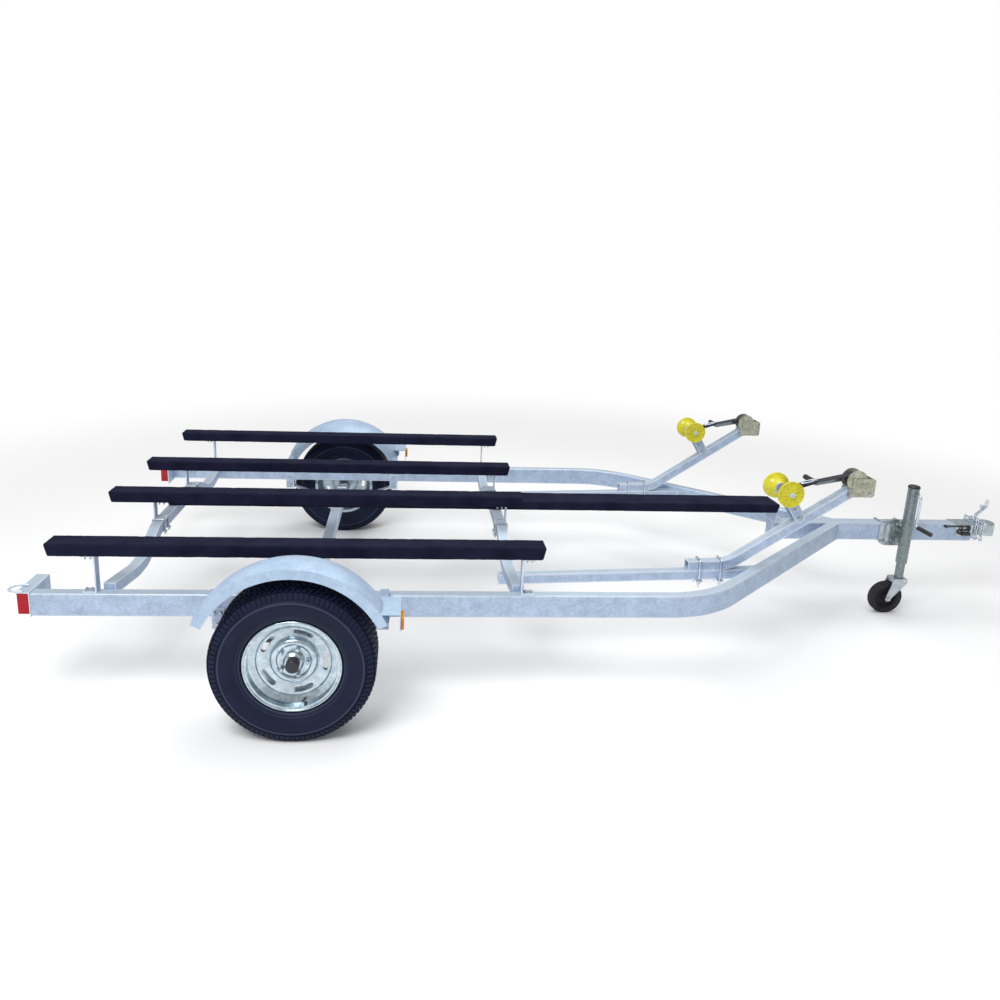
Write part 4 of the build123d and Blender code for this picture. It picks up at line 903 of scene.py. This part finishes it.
def make_bunk_bolts():
    """Bolts up into the bunks, bolts down into the rails, and rods round the cross-members."""
    rod_sizes = {"reach": 0.0295, "drop": 0.0605, "radius": 0.004, "tail": 0.014, "corner": 0.008}
    rod_rise = 0.0042
    rod_beside = 0.0275
    bolt_reaches = (0.024, 0.046)
    under_bunk = BUNK_BOTTOM - BRACKET_PLATE
    over_rail = RAIL_TOP + BRACKET_PLATE
    shapes = []
    for way in (-1, 1):
        for along, ahead in OUTER_BRACKETS:
            y = way * OUTER_BRACKET_Y
            for reach in bolt_reaches:
                place = along + ahead * reach
                shapes.append(bolt(station(place, y, under_bunk), DOWN, flat=0.007, stud=0.010))
                shapes.append(bolt(station(place, y, over_rail), UP, flat=0.007, stud=0.004))
        for middle, ahead in CROSS_MEMBERS:
            y = way * INNER_BRACKET_Y
            web = middle - ahead * CROSS_HALF
            for reach in bolt_reaches:
                place = web + ahead * reach
                shapes.append(bolt(station(place, y, under_bunk), DOWN, flat=0.007, stud=0.010))
            for beside in (-rod_beside, rod_beside):
                top = station(middle, y + beside, CROSS_TOP_Z + rod_rise)
                shapes.append(u_clamp(top, AHEAD, DOWN, **rod_sizes))
                below = station(middle, y + beside, CROSS_PLATE_Z)
                shapes.append(plate(below, half=(0.038, 0.009, 0.003)))
    put_hardware("bunk_bolts", shapes)


def make_roller_bolts():
    """Bolts that clamp the roller plates to the posts, and the winch frames' foot bolts."""
    shapes = []
    for y in (-BAY_Y, BAY_Y):
        for out in (-1, 1):
            for along, face, z, flat, stud in STAND_BOLTS:
                shapes.append(bolt(station(along, y + out * face, z), (0, out, 0), flat, stud))
    put_hardware("roller_bolts", shapes)


def make_strap_hooks():
    """Snap hook on each strap: a closed loop of rod on the strap's run, with a swivel and a gate."""
    hook_ahead = 0.116
    hook_lift = 0.0072
    hook_half = 0.034
    hook_width = 0.0115
    hook_squareness = 0.8
    swivel_ahead = 0.032
    gate_ends = ((-0.012, -0.010), (0.024, -0.009))
    strap_start = ROLLER_Z + STRAP_LIFT
    lean = math.atan2(DRUM_Z + WOUND_RADIUS - strap_start, DRUM_STATION - ROLLER_STATION)
    along = np.array((math.cos(lean), 0.0, math.sin(lean)))
    up = np.array((-math.sin(lean), 0.0, math.cos(lean)))
    across = np.array(ACROSS, float)
    turn = np.linspace(0, 2 * math.pi, 36, endpoint=False)
    reach = hook_half * np.sign(np.cos(turn)) * np.abs(np.cos(turn)) ** hook_squareness
    width = hook_width * np.sin(turn)
    shapes = []
    for y in (-BAY_Y, BAY_Y):
        on_strap = station(ROLLER_STATION + hook_ahead, y, strap_start + hook_ahead * math.tan(lean))
        middle = on_strap + hook_lift * up
        line = middle + reach[:, None] * along + width[:, None] * across
        shapes.append(rod(line, up, radius=0.0034, closed=True))
        shapes.append(rings(
            middle + swivel_ahead * along, along,
            heights=(0, 0.002, 0.014, 0.017), reaches=(0.004, 0.006, 0.006, 0.004),
        ))
        gate = [middle + ahead * along + beside * across for ahead, beside in gate_ends]
        shapes.append(rod(gate, up, radius=0.0026))
    put_hardware("strap_hooks", shapes, finish=CHAIN_ZINC)


def make_jack_nuts():
    """Nuts on the jack bracket's clamp rods, small bolts in its plate, and the caster's pin nuts."""
    outward = (0, -1, 0)
    shapes = []
    for along in JACK_RODS:
        for z in (RAIL_TOP + JACK_ROD_RISE, RAIL_BOTTOM - JACK_ROD_RISE):
            shapes.append(bolt(station(along, JACK_PLATE_Y, z), outward, flat=0.0085))
    for along, z in JACK_BOLTS:
        shapes.append(bolt(station(along, JACK_PLATE_Y, z), outward, flat=0.006))
    put_hardware("jack_nuts", shapes)
    pin_half = 0.032
    fork = [
        bolt(station(CASTER_STATION, JACK_Y + way * pin_half, CASTER_Z), (0, way, 0), flat=0.010)
        for way in (-1, 1)
    ]
    put_hardware("caster_nuts", fork, body="caster_fork")


def make_coupler_hardware():
    """Bolts through the coupler's far wall and its top, and the finger tab on its latch."""
    places = [station(along, COUPLER_SIDE_Y, COUPLER_BOLT_Z) for along in COUPLER_BOLTS]
    shapes = [bolt(place, ACROSS, flat=0.009) for place in places]
    lean = math.radians(45)
    tab_axes = (
        (math.cos(lean), 0, math.sin(lean)),
        ACROSS,
        (-math.sin(lean), 0, math.cos(lean)),
    )
    tab_half = (0.010, 0.0085, 0.0065)
    shapes.append(plate(station(*LATCH_TAB), tab_half, axes=tab_axes, soft=0.5))
    shapes.append(bolt(station(*COUPLER_TOP_BOLT), UP, flat=0.008, stud=0.002))
    put_hardware("coupler_hardware", shapes)


def make_chains():
    """Round-wire links on the places of the solid links: a long loop's line with a round section,
    each second link turned a quarter about the chain, and the bolt that each loop ends on."""
    wire = 0.003
    inner = 0.029
    play = 0.0004
    width = 0.020
    side_links = 4
    coupler_top = 0.519
    foot = 0.445
    bolt_radius = 0.0036
    pitch = inner - play
    turn = np.linspace(0, 2 * math.pi, 28, endpoint=False)
    end = width / 2 - wire
    straight = (inner + 2 * wire - 2 * end) / 2
    lengthwise = end * np.cos(turn) + straight * np.sign(np.cos(turn) + 1e-9)
    loop = np.stack([lengthwise, end * np.sin(turn)], axis=1)
    shapes = []
    for along, lift in CHAINS:
        top = coupler_top + width / 2 + play + lift
        corner = top + wire + play - inner / 2
        side_y = pitch + inner / 2 + wire
        links = [(k * pitch, top, ACROSS, UP if k else AHEAD) for k in (-1, 0, 1)]
        links += [
            (way * side_y, corner - row * pitch, UP, ACROSS if row % 2 else AHEAD)
            for way in (-1, 1) for row in range(side_links)
        ]
        for y, z, length, across in links:
            length, across = np.array(length, float), np.array(across, float)
            line = station(along, y, z) + loop[:, :1] * length + loop[:, 1:] * np.cross(across, length)
            shapes.append(rod(line, across, wire, sides=8, closed=True))
        low = corner - (side_links - 1) * pitch - inner / 2 + play + bolt_radius
        ends = [station(along, way * (side_y + wire + play), low) for way in (-1, 1)]
        shapes.append(rod(ends, UP, bolt_radius))
        for point, way in zip(ends, (-1, 1)):
            shapes.append(bolt(point, (0, way, 0), flat=0.006, stud=0.001))
        tab_half = (0.003, 0.020, (foot - low) / 2)
        shapes.append(plate(station(along, 0, (low + foot) / 2), tab_half, soft=0.1))
    put_hardware("chain_links", shapes, finish=CHAIN_ZINC, stands_for=["safety_chains"], crease=50.0)


# On a wheel: pairs are an offset from the wheel's middle and a radius
DISC_OFFSET = 0.034
LUG_COUNT = 5
LUG_CIRCLE = 0.057
LUG_LENGTH = 0.016
LIP_PLACE = (0.0785, 0.1922)
LIP_RADIUS = 0.0046
HUB_RING = ((0.033, 0.0655), (0.0425, 0.078), (0.0245, 0.097))
VALVE_ANGLE = math.radians(-76)
VALVE_LEAN = 0.3
VALVE_Y = 1.158
VALVE_RADIUS = 0.1695


def make_wheel_hardware(side, way):
    """Stud ends in the lug nuts, the rolled lip, the raised ring round the hub, each a closed section
    turned about the axle, and the valve stem, on one wheel."""
    body = f"wheel_{side}"
    low, high = (np.array(corner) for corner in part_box(f"rim_{side}"))
    centre = (low + high) / 2
    out = np.array((0.0, way, 0.0))
    studs = []
    for k in range(LUG_COUNT):
        angle = 2 * math.pi * k / LUG_COUNT
        x = centre[0] + LUG_CIRCLE * math.cos(angle)
        z = centre[2] + LUG_CIRCLE * math.sin(angle)
        place = np.array((x, way * (WHEEL_Y + DISC_OFFSET + LUG_LENGTH), z))
        studs.append(rings(
            place, out, heights=(-0.002, 0.0035, 0.005), reaches=(0.0055, 0.0055, 0.004)
        ))
    put_hardware(f"lug_studs_{side}", studs, body=body)

    lip_turn = np.linspace(0, 2 * math.pi, 16, endpoint=False)
    lip = LIP_PLACE + LIP_RADIUS * np.stack([np.cos(lip_turn), np.sin(lip_turn)], axis=1)
    bulge = arc_points(*HUB_RING, count=14)
    around = np.linspace(0, 2 * math.pi, 96, endpoint=False)[:, None]
    middle = (centre[0], way * WHEEL_Y, centre[2])
    beads = [
        (
            turned((section * (way, 1))[None], around, middle).reshape(-1, 3),
            grid_quads(len(around), len(section), wrap_rows=True, wrap_columns=True),
        )
        for section in (lip, bulge)
    ]
    put_hardware(f"wheel_rings_{side}", beads, body, "wheel_steel", WHEEL_ZINC)

    spoke = np.array((math.cos(VALVE_ANGLE), 0.0, math.sin(VALVE_ANGLE)))
    foot = np.array((centre[0], way * VALVE_Y, centre[2])) + VALVE_RADIUS * spoke
    lean = out * math.cos(VALVE_LEAN) - spoke * math.sin(VALVE_LEAN)
    stem = rings(
        foot,
        lean,
        heights=(-0.006, 0.0, 0.004, 0.016, 0.018, 0.028, 0.030),
        reaches=(0.007, 0.0075, 0.005, 0.0045, 0.0052, 0.0052, 0.004),
    )
    put_hardware(f"valve_stem_{side}", [stem], body, "black_polymer", BLACK_POLYMER)


make_post_clamps()
make_spring_clamps()
make_bunk_bolts()
make_roller_bolts()
make_strap_hooks()
make_jack_nuts()
make_coupler_hardware()
make_chains()
for side, way in (("right", -1.0), ("left", 1.0)):
    make_wheel_hardware(side, way)


# Stage: pale floor that fades to white far off, soft light from above and all round

LAMP_TARGET = (0.0, 0.0, 0.4)


def floor_material():
    """Pale matt floor; far from the trailer the camera sees plain white, so no horizon shows."""
    material, tree, shader, place = start_finish("pale_floor")
    shader.inputs["Base Color"].default_value = (0.93, 0.93, 0.93, 1.0)
    shader.inputs["Roughness"].default_value = 0.9
    shader.inputs["Specular IOR Level"].default_value = 0.1
    distance = add_node(tree, "ShaderNodeVectorMath", {0: place}, operation="LENGTH").outputs["Value"]
    far = share_between(tree, distance, low=2.6, high=6.5)
    path = add_node(tree, "ShaderNodeLightPath")
    seen = calculated(tree, "MAXIMUM", path.outputs["Is Camera Ray"], path.outputs["Is Glossy Ray"])
    share = calculated(tree, "MULTIPLY", far, seen)
    white = add_node(tree, "ShaderNodeEmission", {"Color": (1.0, 1.0, 1.0, 1.0), "Strength": 1.0})
    mix = add_node(tree, "ShaderNodeMixShader", {0: share, 1: shader.outputs[0], 2: white.outputs[0]})
    tree.links.new(mix.outputs[0], tree.nodes["Material Output"].inputs["Surface"])
    return material


def make_floor(reach=40.0):
    """Level square plane on the ground."""
    mesh = bpy.data.meshes.new("floor")
    corners = reach * np.array([(-1, -1, 0), (1, -1, 0), (1, 1, 0), (-1, 1, 0)], float)
    mesh.from_pydata(corners.tolist(), [], [(0, 1, 2, 3)])
    mesh.materials.append(floor_material())
    floor = bpy.data.objects.new("floor", mesh)
    bpy.context.collection.objects.link(floor)


def make_world(light=0.5):
    """White to the camera and through clear things, a softer even light to everything else."""
    world = bpy.data.worlds.new("studio")
    bpy.context.scene.world = world
    world.use_nodes = True
    tree = world.node_tree
    background = tree.nodes["Background"]
    path = add_node(tree, "ShaderNodeLightPath")
    seen = calculated(
        tree, "MAXIMUM", path.outputs["Is Camera Ray"], path.outputs["Is Transmission Ray"]
    )
    background.inputs["Color"].default_value = (1.0, 1.0, 1.0, 1.0)
    tree.links.new(spread(tree, light, 1.0, seen), background.inputs["Strength"])


def look_axes(forward, roll):
    """Right, up and back directions of a camera or lamp that looks forward and rolls about it."""
    forward = np.array(forward, float) / np.linalg.norm(forward)
    right = np.cross(forward, (0.0, 0.0, 1.0))
    right /= np.linalg.norm(right)
    up = np.cross(right, forward)
    rolled_right = math.cos(roll) * right + math.sin(roll) * up
    rolled_up = -math.sin(roll) * right + math.cos(roll) * up
    return [rolled_right.tolist(), rolled_up.tolist(), (-forward).tolist()]


def make_lamp(name, place, target, size, watts):
    """Square area lamp at a place, facing a target."""
    lamp = bpy.data.lights.new(name, "AREA")
    lamp.size = size
    lamp.energy = watts
    lamp_object = bpy.data.objects.new(name, lamp)
    bpy.context.collection.objects.link(lamp_object)
    away = np.array(place, float) - np.array(target, float)
    turn = Matrix.Translation(place) @ Matrix(look_axes(-away, 0.0)).transposed().to_4x4()
    lamp_object.matrix_world = turn


def make_camera():
    """Camera at the photograph's place, with its focal length and off-centre frame."""
    data = bpy.data.cameras.new("camera")
    data.sensor_width = SENSOR
    data.lens = FOCAL_PIXELS * SENSOR / IMAGE_PIXELS
    data.shift_x = 0.5 - IMAGE_CENTRE[0] / IMAGE_PIXELS
    data.shift_y = IMAGE_CENTRE[1] / IMAGE_PIXELS - 0.5
    camera = bpy.data.objects.new("camera", data)
    bpy.context.collection.objects.link(camera)
    forward = (
        math.sin(CAMERA_YAW) * math.cos(CAMERA_PITCH),
        math.cos(CAMERA_YAW) * math.cos(CAMERA_PITCH),
        -math.sin(CAMERA_PITCH),
    )
    turn = Matrix(look_axes(forward, CAMERA_ROLL)).transposed().to_4x4()
    camera.matrix_world = Matrix.Translation(CAMERA_PLACE) @ turn
    bpy.context.scene.camera = camera


make_floor()
make_world()
make_lamp("key_lamp", place=(-2.5, -3.5, 5.0), target=LAMP_TARGET, size=2.6, watts=230.0)
make_lamp("top_lamp", place=(0.5, 1.0, 6.0), target=LAMP_TARGET, size=4.5, watts=170.0)
make_camera()
bpy.context.scene.view_settings.view_transform = "Standard"
